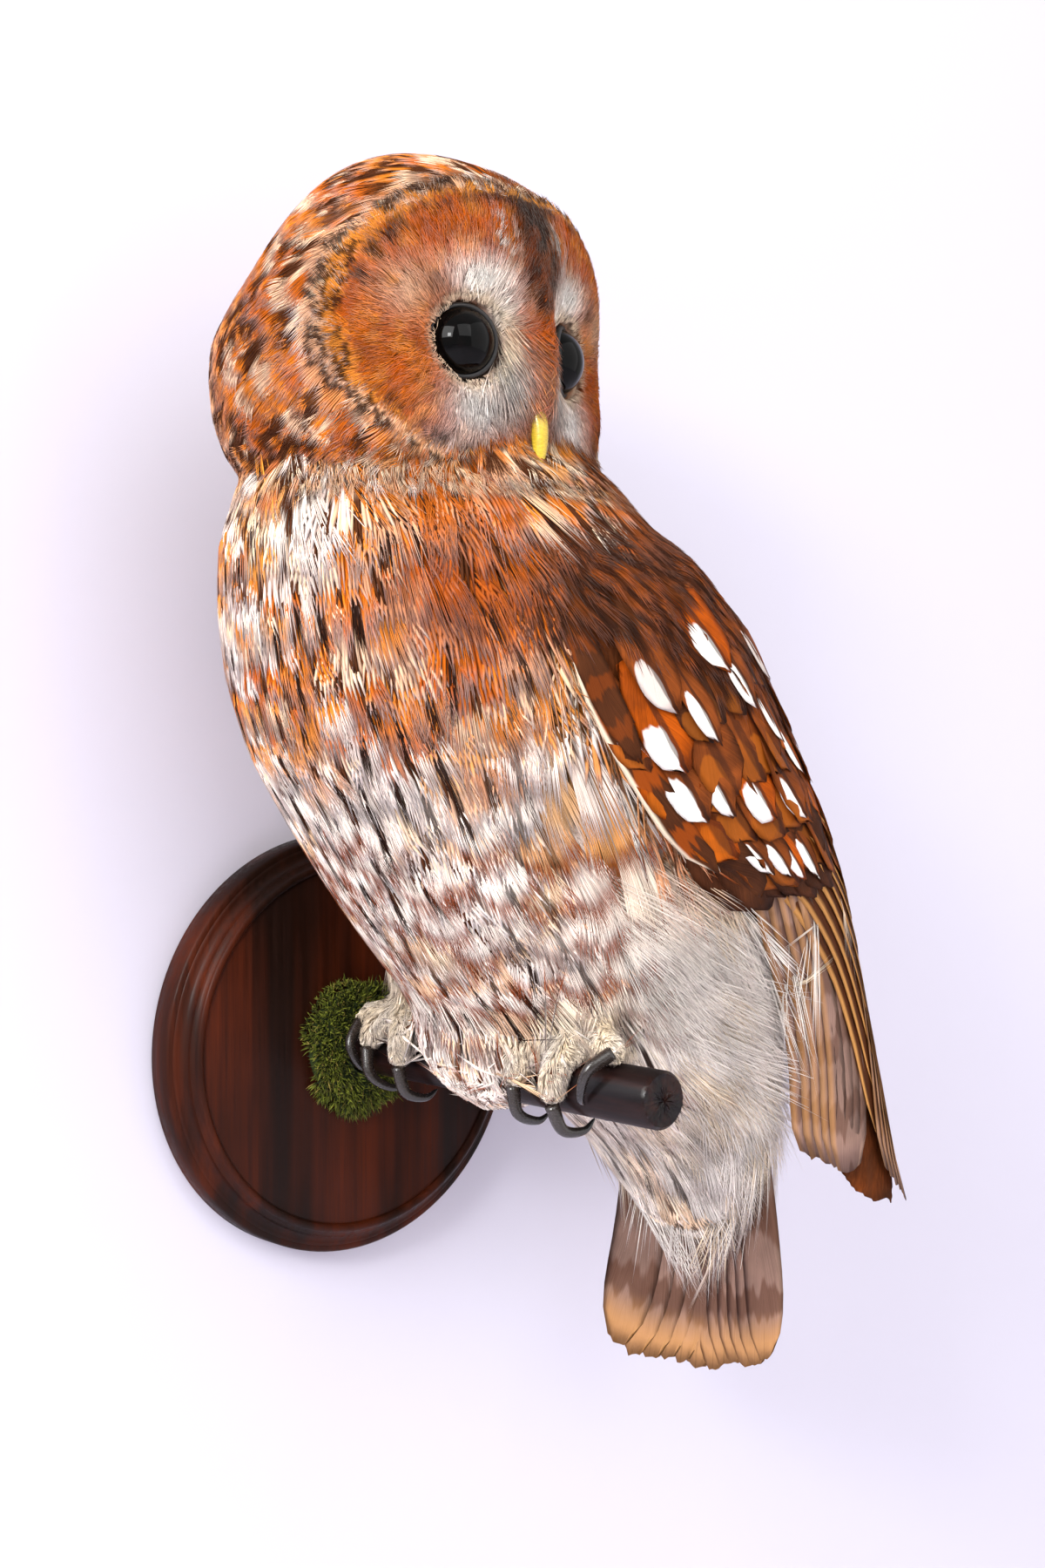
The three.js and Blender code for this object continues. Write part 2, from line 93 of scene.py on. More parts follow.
def rows_curve(rows: Sequence[Sequence[float]]) -> Callable[[Array], Array]:
    """Reads a smooth curve through rows of numbers, whose first column rises.

    Args:
        rows: The rows: a key, then the values at that key.

    Returns:
        A function from keys to the values there, a row for each key.
    """
    table = np.array(rows, float)
    keys, values = table[:, 0], table[:, 1:]
    slopes = np.gradient(values, keys, axis=0)

    def read(key: Array) -> Array:
        """The rows' numbers at each key.

        Args:
            key: Values of the first column.

        Returns:
            A row of the other columns for each key.
        """
        key = np.clip(np.asarray(key, float), keys[0], keys[-1])
        i = np.clip(np.searchsorted(keys, key) - 1, 0, len(keys) - 2)
        span = (keys[i + 1] - keys[i])[:, None]
        t = (key - keys[i])[:, None] / span
        low, high = values[i], values[i + 1]
        return (
            low * (2 * t**3 - 3 * t**2 + 1)
            + slopes[i] * span * (t**3 - 2 * t**2 + t)
            + high * (3 * t**2 - 2 * t**3)
            + slopes[i + 1] * span * (t**3 - t**2)
        )

    return read


# ---- Colours ----


class Hue(Enum):
    """The plumage's own colours."""

    WHITE = tone(0xFBF4EC)
    CREAM = tone(0xF6E2C4)
    BUFF = tone(0xE4943C)
    SAND = tone(0xD69A58)
    TAWNY = tone(0xD6741A)
    RUFOUS = tone(0xB4500A)
    CHESTNUT = tone(0x84421A)
    UMBER = tone(0x4E2A16)
    SEPIA = tone(0x2C1A13)
    ASH = tone(0xB4ADA6)
    DRAB = tone(0x8E7164)


def hue(name: Hue) -> Array:
    """One of the plumage's colours as an array."""
    return np.array(name.value)


class Pattern(Enum):
    """Where a feather carries its pale mark."""

    TIP = "tip"
    SPOT = "spot"
    EDGE = "edge"


# ---- Node graphs ----


class Graph:
    """A material's node graph, with a short call for each kind of node that the finishes use."""

    def __init__(self, name: str) -> None:
        """Starts a graph that holds only the surface shader and its output.

        Args:
            name: The material's name.
        """
        self.material = bpy.data.materials.new(name)
        self.material.use_nodes = True
        self.tree = self.material.node_tree
        self.shader = self.tree.nodes["Principled BSDF"]

    def feed(self, node: bpy.types.Node, key: int | str, value: object) -> None:
        """Sets a socket to a number or colour, or links another socket to it.

        Args:
            node: The node whose socket is set.
            key: The socket's name or number.
            value: The number, colour or socket to feed it.
        """
        if value is None:
            return
        if isinstance(value, Socket):
            self.tree.links.new(value, node.inputs[key])
            return
        wanted = node.inputs[key]
        plain = tuple(value) if hasattr(value, "__len__") else value
        if wanted.type == "RGBA" and len(plain) == 3:
            plain = (*plain, 1.0)
        wanted.default_value = plain

    def node(self, kind: str, settings: dict | None = None, **inputs: object) -> bpy.types.Node:
        """Adds a node.

        Args:
            kind: The node's type, without its ShaderNode prefix.
            settings: Properties of the node.
            inputs: Its sockets by name, with underscores for spaces.

        Returns:
            The new node.
        """
        made = self.tree.nodes.new("ShaderNode" + kind)
        for key, value in (settings or {}).items():
            setattr(made, key, value)
        for key, value in inputs.items():
            self.feed(made, key.replace("_", " "), value)
        return made

    def math(self, operation: str, first: object, second: object = None) -> Socket:
        """A Math node's result.

        Args:
            operation: The Math node's operation.
            first: Its first value.
            second: Its second value.

        Returns:
            The result's socket.
        """
        made = self.node("Math", {"operation": operation})
        self.feed(made, 0, first)
        self.feed(made, 1, second)
        return made.outputs[0]

    def times(self, first: object, second: object) -> Socket:
        """A product."""
        return self.math("MULTIPLY", first, second)

    def plus(self, first: object, second: object) -> Socket:
        """A sum."""
        return self.math("ADD", first, second)

    def minus(self, first: object, second: object) -> Socket:
        """A difference."""
        return self.math("SUBTRACT", first, second)

    def mix(self, share: object, low: object, high: object, blend: str = "MIX") -> Socket:
        """A colour between two others.

        Args:
            share: How much of the second colour to take.
            low: The colour at a share of 0.
            high: The colour at a share of 1.
            blend: The way of mixing.

        Returns:
            The mixed colour's socket.
        """
        made = self.node("Mix", {"data_type": "RGBA", "blend_type": blend})
        self.feed(made, 0, share)
        self.feed(made, 6, low)
        self.feed(made, 7, high)
        return made.outputs[2]

    def step(self, value: object, low: object, high: object, start: float = 0.0, end: float = 1.0) -> Socket:
        """A soft step of a value between two bounds.

        Args:
            value: The value to map.
            low: The bound below which the step is at its start.
            high: The bound above which it is at its end.
            start: The result at the low bound.
            end: The result at the high bound.

        Returns:
            The result's socket.
        """
        made = self.node("MapRange", {"interpolation_type": "SMOOTHSTEP"})
        for key, item in zip(
            ("Value", "From Min", "From Max", "To Min", "To Max"), (value, low, high, start, end)
        ):
            self.feed(made, key, item)
        return made.outputs[0]

    def noise(self, vector: object, scale: float, detail: float = 2.0, rough: float = 0.5) -> Socket:
        """A Noise Texture's value."""
        made = self.node("TexNoise", Vector=vector, Scale=scale, Detail=detail, Roughness=rough)
        return made.outputs[0]

    def place(self) -> Socket:
        """The Object coordinates, which are the row frame's in metres."""
        return self.node("TexCoord").outputs["Object"]

    def stretched(self, vector: object, scale: Triple) -> Socket:
        """Coordinates scaled by different amounts along each axis.

        Args:
            vector: The coordinates.
            scale: The factor along each axis.

        Returns:
            The scaled coordinates' socket.
        """
        made = self.node("VectorMath", {"operation": "MULTIPLY"})
        self.feed(made, 0, vector)
        self.feed(made, 1, scale)
        return made.outputs[0]

    def bump(self, height: object, strength: float, distance: float, before: object = None) -> Socket:
        """A Bump node's normal.

        Args:
            height: The height to read.
            strength: How strongly it shows.
            distance: How deep it is.
            before: The normal to start from.

        Returns:
            The normal's socket.
        """
        made = self.node("Bump", Height=height, Normal=before)
        made.inputs["Strength"].default_value = strength
        made.inputs["Distance"].default_value = distance
        return made.outputs[0]

    def finish(self, **inputs: object) -> bpy.types.Material:
        """Feeds the surface shader and gives the material.

        Returns:
            The finished material.
        """
        for key, value in inputs.items():
            self.feed(self.shader, key.replace("_", " "), value)
        return self.material


@dataclass(frozen=True)
class PlumageFinish:
    """The finish of feathers, which reads each feather's own map, ground colour and marks, with painted shade
    at the roots.

    The marks are the strength of the shaft streak, of the cross bars and of the pale tip or spot, and a seed.
    """

    name: str
    streak: Hue = Hue.SEPIA
    bar: Hue = Hue.RUFOUS
    pale: Hue = Hue.WHITE
    bars: float = 3.0
    barbs: float = 26.0
    roughness: float = 0.7
    pattern: Pattern = Pattern.TIP
    relief: float = 0.5
    streak_root: float = 0.03
    streak_grow: float = 0.12
    stiff: bool = False
    cloudy: Pair = (0.78, 1.16)
    spot_at: Pair = (0.76, 0.76)
    spot_half: Pair = (0.27, 0.2)
    edge: Pair = (0.8, 0.93)
    tip: Pair = (0.62, 0.98)

    def material(self) -> bpy.types.Material:
        """Builds the node graph.

        Returns:
            The material.
        """
        g = Graph(self.name)
        where = g.node("UVMap", {"uv_map": "vane"}).outputs[0]
        parts = g.node("SeparateXYZ", Vector=where)
        u, v = parts.outputs[0], parts.outputs[1]
        ground = g.node("Attribute", {"attribute_name": "ground"}).outputs["Color"]
        marks = g.node("Attribute", {"attribute_name": "marks"})
        strengths = g.node("SeparateColor", Color=marks.outputs["Color"])
        streak, bars, pale = strengths.outputs[0], strengths.outputs[1], strengths.outputs[2]
        seed = g.times(marks.outputs["Alpha"], 37.0)
        own = g.node("CombineXYZ", X=g.times(u, 2.0), Y=g.times(v, 1.5), Z=seed).outputs[0]
        wobble = g.minus(g.noise(own, 2.2, 2.0), 0.5)
        slant = own
        if self.stiff:
            lean = g.times(g.math("ABSOLUTE", g.minus(u, 0.5)), 0.9)
            slant = g.node("CombineXYZ", X=g.minus(v, lean), Y=g.times(u, 1.2), Z=seed).outputs[0]
        fine = g.noise(g.stretched(slant, (self.barbs, 1.6, 1.0)), 1.0, 2.0, 0.6)
        place = g.place()
        cloud = g.noise(place, 70.0, 3.0)
        off_shaft = g.math("ABSOLUTE", g.minus(u, 0.5))
        shade = g.mix(1.0, ground, g.step(cloud, 0.25, 0.75, *self.cloudy), "MULTIPLY")
        shade = g.mix(1.0, shade, g.step(fine, 0.2, 0.8, 0.7, 1.22), "MULTIPLY")
        wave = g.math("SINE", g.plus(g.times(v, self.bars * math.tau), g.times(wobble, 5.0)))
        banded = g.times(g.step(wave, 0.0, 0.7), bars)
        shade = g.mix(banded, shade, self.bar.value)
        if self.pattern is Pattern.SPOT:
            aside = g.math("DIVIDE", g.minus(u, self.spot_at[0]), self.spot_half[0])
            ahead = g.math("DIVIDE", g.minus(v, self.spot_at[1]), self.spot_half[1])
            round_off = g.plus(g.times(aside, aside), g.times(ahead, ahead))
            reach = g.plus(round_off, g.times(wobble, 1.6))
            shade = g.mix(g.times(g.step(reach, 1.15, 0.85), pale), shade, self.pale.value)
        elif self.pattern is Pattern.EDGE:
            edge = g.plus(u, g.times(wobble, 0.12))
            shade = g.mix(g.times(g.step(edge, *self.edge), pale), shade, self.pale.value)
        else:
            shade = g.mix(g.times(g.step(v, *self.tip), pale), shade, self.pale.value)
        width = g.plus(g.times(v, self.streak_grow), self.streak_root)
        ragged = g.plus(off_shaft, g.times(wobble, 0.1))
        inside = g.minus(1.0, g.step(g.math("DIVIDE", ragged, width), 0.7, 1.25))
        dark = g.times(g.times(inside, streak), g.step(v, 0.12, 0.4))
        shade = g.mix(dark, shade, self.streak.value)
        # Painted shade: each feather's colour darkens towards its root, up to 0.4 of the way to a dark brown
        # multiply, for the shade deep between feathers.
        shade = g.mix(g.step(v, 0.25, 0.0, 0.0, 0.4), shade, g.mix(1.0, shade, (0.4, 0.3, 0.24), "MULTIPLY"))
        relief = g.bump(fine, self.relief, 0.0004)
        rough = g.step(cloud, 0.2, 0.8, self.roughness - 0.08, self.roughness + 0.12)
        return g.finish(Base_Color=shade, Roughness=rough, Normal=relief, Specular_IOR_Level=0.05)


@dataclass(frozen=True)
class SkinFinish:
    """The skin under the plumage, in the plumage's streaks and its ground colours, which the skin's build
    darkens as painted shade.
    """

    name: str = "owl_skin"
    streak: Hue = Hue.UMBER

    def material(self) -> bpy.types.Material:
        """Builds the node graph.

        Returns:
            The material.
        """
        g = Graph(self.name)
        ground = g.node("Attribute", {"attribute_name": "ground"}).outputs["Color"]
        marks = g.node("Attribute", {"attribute_name": "marks"}).outputs["Color"]
        strengths = g.node("SeparateColor", Color=marks)
        place = g.place()
        long_way = g.stretched(place, (1.0, 1.0, 0.3))
        strand = g.noise(long_way, 900.0, 2.0)
        streaks = g.step(g.noise(long_way, 160.0, 2.0), 0.55, 0.66)
        shade = g.mix(1.0, ground, g.step(strand, 0.2, 0.8, 0.6, 1.1), "MULTIPLY")
        dark = g.times(streaks, g.times(strengths.outputs[0], 0.8))
        shade = g.mix(dark, shade, self.streak.value)
        return g.finish(
            Base_Color=shade, Roughness=0.85, Normal=g.bump(strand, 0.6, 0.0005), Specular_IOR_Level=0.05
        )


@dataclass(frozen=True)
class WoodFinish:
    """Dark stained wood with an upright grain under a satin varnish."""

    name: str
    deep: Triple = tone(0x180803)
    warm: Triple = tone(0x4A1A05)
    grain_axis: Triple = (42.0, 42.0, 3.2)
    varnish: float = 0.06
    roughness: float = 0.5

    def material(self) -> bpy.types.Material:
        """Builds the node graph.

        Returns:
            The material.
        """
        g = Graph(self.name)
        along = g.stretched(g.place(), self.grain_axis)
        bands = g.noise(along, 1.0, 3.0, 0.55)
        pores = g.noise(g.stretched(along, (14.0, 14.0, 5.0)), 1.0, 3.0, 0.7)
        cloud = g.noise(g.place(), 22.0, 2.0)
        shade = g.mix(g.step(bands, 0.38, 0.66), self.deep, self.warm)
        shade = g.mix(g.step(cloud, 0.35, 0.7, 0.0, 0.55), shade, self.deep)
        shade = g.mix(1.0, shade, g.step(pores, 0.3, 0.7, 0.7, 1.2), "MULTIPLY")
        rough = g.step(pores, 0.3, 0.75, self.roughness - 0.06, self.roughness + 0.18)
        relief = g.bump(g.plus(g.times(pores, 0.6), bands), 0.35, 0.0004)
        made = g.finish(
            Base_Color=shade, Roughness=rough, Normal=relief, Coat_Weight=self.varnish, Specular_IOR_Level=0.1
        )
        g.shader.inputs["Coat Roughness"].default_value = 0.22
        return made


@dataclass(frozen=True)
class GlassEyeFinish:
    """A black glass eye, mottled with a barely lighter black."""

    name: str = "eye_glass"

    def material(self) -> bpy.types.Material:
        """Builds the node graph.

        Returns:
            The material.
        """
        g = Graph(self.name)
        cloud = g.noise(g.place(), 400.0, 3.0)
        shade = g.mix(g.step(cloud, 0.4, 0.8), tone(0x030303), tone(0x080505))
        rough = g.step(cloud, 0.3, 0.8, 0.03, 0.05)
        return g.finish(Base_Color=shade, Roughness=rough, Specular_IOR_Level=0.12)


@dataclass(frozen=True)
class HornFinish:
    """Horn that changes colour along its length, with fine growth lines."""

    name: str
    root: Triple
    tip: Triple
    roughness: float = 0.3

    def material(self) -> bpy.types.Material:
        """Builds the node graph, which reads the piece's own map along its length.

        Returns:
            The material.
        """
        g = Graph(self.name)
        along = g.node("SeparateXYZ", Vector=g.node("UVMap", {"uv_map": "length"}).outputs[0]).outputs[1]
        lines = g.noise(g.stretched(g.place(), (1.0, 1.0, 3.0)), 700.0, 3.0, 0.65)
        shade = g.mix(g.step(along, 0.1, 0.95), self.root, self.tip)
        shade = g.mix(1.0, shade, g.step(lines, 0.25, 0.75, 0.72, 1.18), "MULTIPLY")
        rough = g.step(lines, 0.2, 0.8, self.roughness - 0.08, self.roughness + 0.14)
        return g.finish(
            Base_Color=shade, Roughness=rough, Normal=g.bump(lines, 0.25, 0.0003), Coat_Weight=0.25
        )


@dataclass(frozen=True)
class MossFinish:
    """Dried green moss with straw-coloured bits."""

    name: str = "moss_green"

    def material(self) -> bpy.types.Material:
        """Builds the node graph.

        Returns:
            The material.
        """
        g = Graph(self.name)
        ground = g.node("Attribute", {"attribute_name": "ground"}).outputs["Color"]
        cloud = g.noise(g.place(), 500.0, 3.0)
        shade = g.mix(1.0, ground, g.step(cloud, 0.25, 0.75, 0.5, 1.35), "MULTIPLY")
        return g.finish(
            Base_Color=shade, Roughness=0.8, Normal=g.bump(cloud, 0.5, 0.0004), Specular_IOR_Level=0.3
        )


@dataclass(frozen=True)
class PlainFinish:
    """A pale studio surface with a faint mottle. See-through from behind where one_sided is set."""

    name: str
    colour: Triple
    one_sided: bool = False

    def material(self) -> bpy.types.Material:
        """Builds the node graph.

        Returns:
            The material.
        """
        g = Graph(self.name)
        cloud = g.noise(g.place(), 3.0, 2.0)
        lighter = tuple(min(1.0, c * 1.03) for c in self.colour)
        made = g.finish(Base_Color=g.mix(cloud, self.colour, lighter), Roughness=0.9)
        if self.one_sided:
            behind = g.node("NewGeometry").outputs["Backfacing"]
            clear = g.node("BsdfTransparent")
            both = g.node("MixShader")
            g.tree.links.new(behind, both.inputs[0])
            g.tree.links.new(g.shader.outputs[0], both.inputs[1])
            g.tree.links.new(clear.outputs[0], both.inputs[2])
            g.tree.links.new(both.outputs[0], g.tree.nodes["Material Output"].inputs["Surface"])
        return made


# ---- Pieces ----


def piece_from(
    name: str, mesh: bpy.types.Mesh, material: bpy.types.Material,
    stands_for: Sequence[str] = ()
) -> bpy.types.Object:
    """Makes a finished mesh a piece of the model.

    Args:
        name: The piece's name.
        mesh: Its mesh, in the row frame.
        material: Its finish.
        stands_for: The nodes that it replaces.

    Returns:
        The piece's object.
    """
    mesh.materials.clear()
    mesh.materials.append(material)
    made = bpy.data.objects.new(name, mesh)
    bpy.context.scene.collection.objects.link(made)
    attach(made, BODY)
    if stands_for:
        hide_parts(*stands_for)
    LOG.info("%s: %d faces", name, len(mesh.polygons))
    return made


def mesh_from_bmesh(name: str, bm: bmesh.types.BMesh, shade_smooth: bool = True) -> bpy.types.Mesh:
    """Writes a bmesh to a new mesh, with its normals outwards.

    Args:
        name: The mesh's name.
        bm: The bmesh, which is freed.
        shade_smooth: Whether its faces are shaded smooth.

    Returns:
        The new mesh.
    """
    bmesh.ops.recalc_face_normals(bm, faces=bm.faces)
    for face in bm.faces:
        face.smooth = shade_smooth
    mesh = bpy.data.meshes.new(name)
    bm.to_mesh(mesh)
    bm.free()
    return mesh


@dataclass
class Gathering:
    """Many small closed forms gathered as arrays and joined in one mesh."""

    points: list[Array] = field(default_factory=list)
    faces: list[Array] = field(default_factory=list)
    vane: list[Array] = field(default_factory=list)
    bake: list[Array] = field(default_factory=list)
    ground: list[Array] = field(default_factory=list)
    marks: list[Array] = field(default_factory=list)
    total: int = 0

    def add(self, points: Array, faces: Array, vane: Array, bake: Array, ground: Array, marks: Array) -> None:
        """Adds copies of one form.

        Args:
            points: The copies' vertices, as copies × vertices × 3.
            faces: The form's triangles.
            vane: Each vertex's place on its feather, as copies × vertices × 2.
            bake: Each vertex's place on the unwrap, as copies × vertices × 2.
            ground: The ground colours, as copies × vertices × 3 or copies × 3.
            marks: The marks' strengths, as copies × 4.
        """
        copies, count = points.shape[:2]
        starts = self.total + np.arange(copies)[:, None, None] * count
        self.faces.append((faces[None] + starts).reshape(-1, 3))
        self.points.append(points.reshape(-1, 3))
        self.vane.append(np.broadcast_to(vane, (copies, count, 2)).reshape(-1, 2))
        self.bake.append(np.broadcast_to(bake, (copies, count, 2)).reshape(-1, 2))
        tinted = ground[:, None, :] if ground.ndim == 2 else ground
        self.ground.append(np.broadcast_to(tinted, (copies, count, 3)).reshape(-1, 3))
        self.marks.append(np.repeat(marks, count, axis=0))
        self.total += copies * count

    def mesh(self, name: str) -> bpy.types.Mesh:
        """Joins what was gathered in one mesh.

        Args:
            name: The mesh's name.

        Returns:
            The joined mesh.
        """
        points, faces = np.concatenate(self.points), np.concatenate(self.faces)
        mesh = bpy.data.meshes.new(name)
        mesh.vertices.add(len(points))
        mesh.vertices.foreach_set("co", points.astype(np.float32).ravel())
        mesh.loops.add(faces.size)
        mesh.loops.foreach_set("vertex_index", faces.astype(np.int32).ravel())
        mesh.polygons.add(len(faces))
        mesh.polygons.foreach_set("loop_start", np.arange(0, faces.size, 3, dtype=np.int32))
        mesh.update(calc_edges=True)
        mesh.polygons.foreach_set("use_smooth", np.ones(len(faces), bool))
        for label, rows in (("vane", self.vane), ("OFBake", self.bake)):
            layer = mesh.uv_layers.new(name=label)
            layer.data.foreach_set("uv", np.concatenate(rows)[faces.ravel()].astype(np.float32).ravel())
        colours = {
            "ground": np.column_stack([np.concatenate(self.ground), np.ones(len(points))]),
            "marks": np.concatenate(self.marks),
        }
        for label, rows in colours.items():
            layer = mesh.attributes.new(label, "FLOAT_COLOR", "POINT")
            layer.data.foreach_set("color", rows.astype(np.float32).ravel())
        mesh.update()
        return mesh


# ---- Guide surface ----


class Part(Enum):
    """The parts of the bird that carry plumage, by the node that holds each."""

    HEAD = "head"
    FACE = "facial_disc"
    NECK = "neck"
    TRUNK = "trunk"
    WING_LEFT = "wing_left"
    WING_RIGHT = "wing_right"
    LEG_LEFT = "leg_left"
    LEG_RIGHT = "leg_right"
    FOOT_LEFT = "foot_left"
    FOOT_RIGHT = "foot_right"


PARTS = list(Part)
WINGS = (Part.WING_LEFT, Part.WING_RIGHT)
LEGS = (Part.LEG_LEFT, Part.LEG_RIGHT)
FEET = (Part.FOOT_LEFT, Part.FOOT_RIGHT)


def indices(members: Sequence[Part]) -> list[int]:
    """The places of some parts in PARTS."""
    return [PARTS.index(part) for part in members]


@dataclass
class Guide:
    """The bird's outer form, on which the feathers' tips lie."""

    voxel: float = 2.3 * MM
    swell: float = 0.6 * MM
    relax: int = 3
    points: Array = field(init=False)
    normals: Array = field(init=False)
    triangles: Array = field(init=False)
    tree: BVHTree = field(init=False)
    parts_tree: BVHTree = field(init=False)
    part_of_face: Array = field(init=False)
    mesh: bpy.types.Mesh = field(init=False)

    def __post_init__(self) -> None:
        """Joins the flesh nodes in one closed surface and prepares the lookups."""
        joined = bmesh.new()
        labels = []
        for index, part in enumerate(PARTS):
            bm = self.clean_copy(part.value)
            self.append(joined, bm)
            labels += [index] * (len(joined.faces) - len(labels))
            bm.free()
        self.parts_tree = BVHTree.FromBMesh(joined)
        self.part_of_face = np.array(labels)
        mesh = self.remeshed(joined)
        count = len(mesh.vertices)
        self.points = np.empty(count * 3, np.float32)
        mesh.vertices.foreach_get("co", self.points)
        self.points = self.points.reshape(-1, 3).astype(float)
        mesh.calc_loop_triangles()
        self.triangles = np.empty(len(mesh.loop_triangles) * 3, np.int32)
        mesh.loop_triangles.foreach_get("vertices", self.triangles)
        self.triangles = self.triangles.reshape(-1, 3)
        normals = np.empty(count * 3, np.float32)
        mesh.vertices.foreach_get("normal", normals)
        self.normals = normals.reshape(-1, 3).astype(float)
        self.tree = BVHTree.FromPolygons(self.points.tolist(), self.triangles.tolist())
        self.mesh = mesh

    def clean_copy(self, node: str) -> bmesh.types.BMesh:
        """A node's mesh with its loose triangles joined.

        Args:
            node: The name of the node in the frame.

        Returns:
            Its joined mesh.
        """
        bm = bmesh.new()
        bm.from_mesh(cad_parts[node].data)
        bmesh.ops.remove_doubles(bm, verts=bm.verts, dist=1e-6)
        bm.normal_update()
        return bm

    def append(self, joined: bmesh.types.BMesh, bm: bmesh.types.BMesh) -> None:
        """Adds one bmesh, swollen a little, to another.

        Args:
            joined: The bmesh to add to.
            bm: The bmesh that is added.
        """
        for vert in bm.verts:
            vert.co += vert.normal * self.swell
        temporary = bpy.data.meshes.new("temporary")
        bm.to_mesh(temporary)
        joined.from_mesh(temporary)
        bpy.data.meshes.remove(temporary)

    def remeshed(self, joined: bmesh.types.BMesh) -> bpy.types.Mesh:
        """One closed, even surface round the joined parts.

        Args:
            joined: The parts, overlapping each other.

        Returns:
            The closed surface.
        """
        mesh = bpy.data.meshes.new("guide")
        joined.to_mesh(mesh)
        joined.free()
        carrier = bpy.data.objects.new("guide", mesh)
        bpy.context.scene.collection.objects.link(carrier)
        modifier = carrier.modifiers.new("voxels", "REMESH")
        modifier.mode = "VOXEL"
        modifier.voxel_size = self.voxel
        soften = carrier.modifiers.new("soften", "SMOOTH")
        soften.factor = 0.5
        soften.iterations = self.relax
        done = carrier.evaluated_get(bpy.context.evaluated_depsgraph_get())
        result = bpy.data.meshes.new_from_object(done)
        bpy.data.objects.remove(carrier)
        return result

    def nearest(self, points: Array) -> tuple[Array, Array]:
        """The nearest places on the guide, and the normals there.

        Args:
            points: Rows of places.

        Returns:
            The places on the surface and the surface normals, a row for each.
        """
        find = self.tree.find_nearest
        flat = points.reshape(-1, 3)
        places, normals = np.empty_like(flat), np.empty_like(flat)
        for i, point in enumerate(flat.tolist()):
            spot, normal, _, _ = find(point)
            places[i] = spot
            normals[i] = normal
        return places.reshape(points.shape), normals.reshape(points.shape)

    def parts(self, points: Array) -> Array:
        """The index in PARTS of the part nearest to each place.

        Args:
            points: The places, one to a row, in metres.

        Returns:
            An index into PARTS for each place.
        """
        find = self.parts_tree.find_nearest
        found = np.array([self.part_of_face[find(point)[2]] for point in points.tolist()])
        head, face = PARTS.index(Part.HEAD), PARTS.index(Part.FACE)
        of_head = (found == head) | (found == face)
        return np.where(of_head, np.where(PLAN.disc_share(points) < 1, face, head), found)

    def scatter(
        self, spacing: float, tries: int, seed: int, keep: Callable[[Array], Array] | None = None,
        tall: float = 1.0
    ) -> tuple[Array, Array]:
        """Evenly spread places on the guide.

        Args:
            spacing: The least distance between two places.
            tries: How many places to try.
            seed: The seed of the draw.
            keep: Says which places are wanted, from their rows.
            tall: How much further apart two places are kept in height.

        Returns:
            The places and the surface normals there.
        """
        rng = np.random.default_rng(seed)
        corners = self.points[self.triangles]
        normal = np.cross(corners[:, 1] - corners[:, 0], corners[:, 2] - corners[:, 0])
        area = np.linalg.norm(normal, axis=1)
        if keep is not None:
            area = area * keep(corners.mean(axis=1))
        chosen = rng.choice(len(area), size=tries, p=area / area.sum())
        a, b = rng.random((2, tries, 1))
        turned = a + b > 1
        a, b = np.where(turned, 1 - a, a), np.where(turned, 1 - b, b)
        tri = corners[chosen]
        places = tri[:, 0] + a * (tri[:, 1] - tri[:, 0]) + b * (tri[:, 2] - tri[:, 0])
        pressed = places / np.array([1.0, 1.0, tall])
        cells = np.floor(pressed / spacing).astype(int)
        taken: dict[tuple[int, int, int], list[Array]] = {}
        kept = []
        around = [(i, j, k) for i in (-1, 0, 1) for j in (-1, 0, 1) for k in (-1, 0, 1)]
        listed = pressed.tolist()
        for index, (i, j, k) in enumerate(cells.tolist()):
            x, y, z = listed[index]
            clear = True
            for di, dj, dk in around:
                for ox, oy, oz in taken.get((i + di, j + dj, k + dk), ()):
                    if (ox - x) ** 2 + (oy - y) ** 2 + (oz - z) ** 2 < spacing * spacing:
                        clear = False
                        break
                if not clear:
                    break
            if clear:
                taken.setdefault((i, j, k), []).append((x, y, z))
                kept.append(index)
        return places[kept], unit(normal[chosen[kept]])


# ---- The bird's plan ----


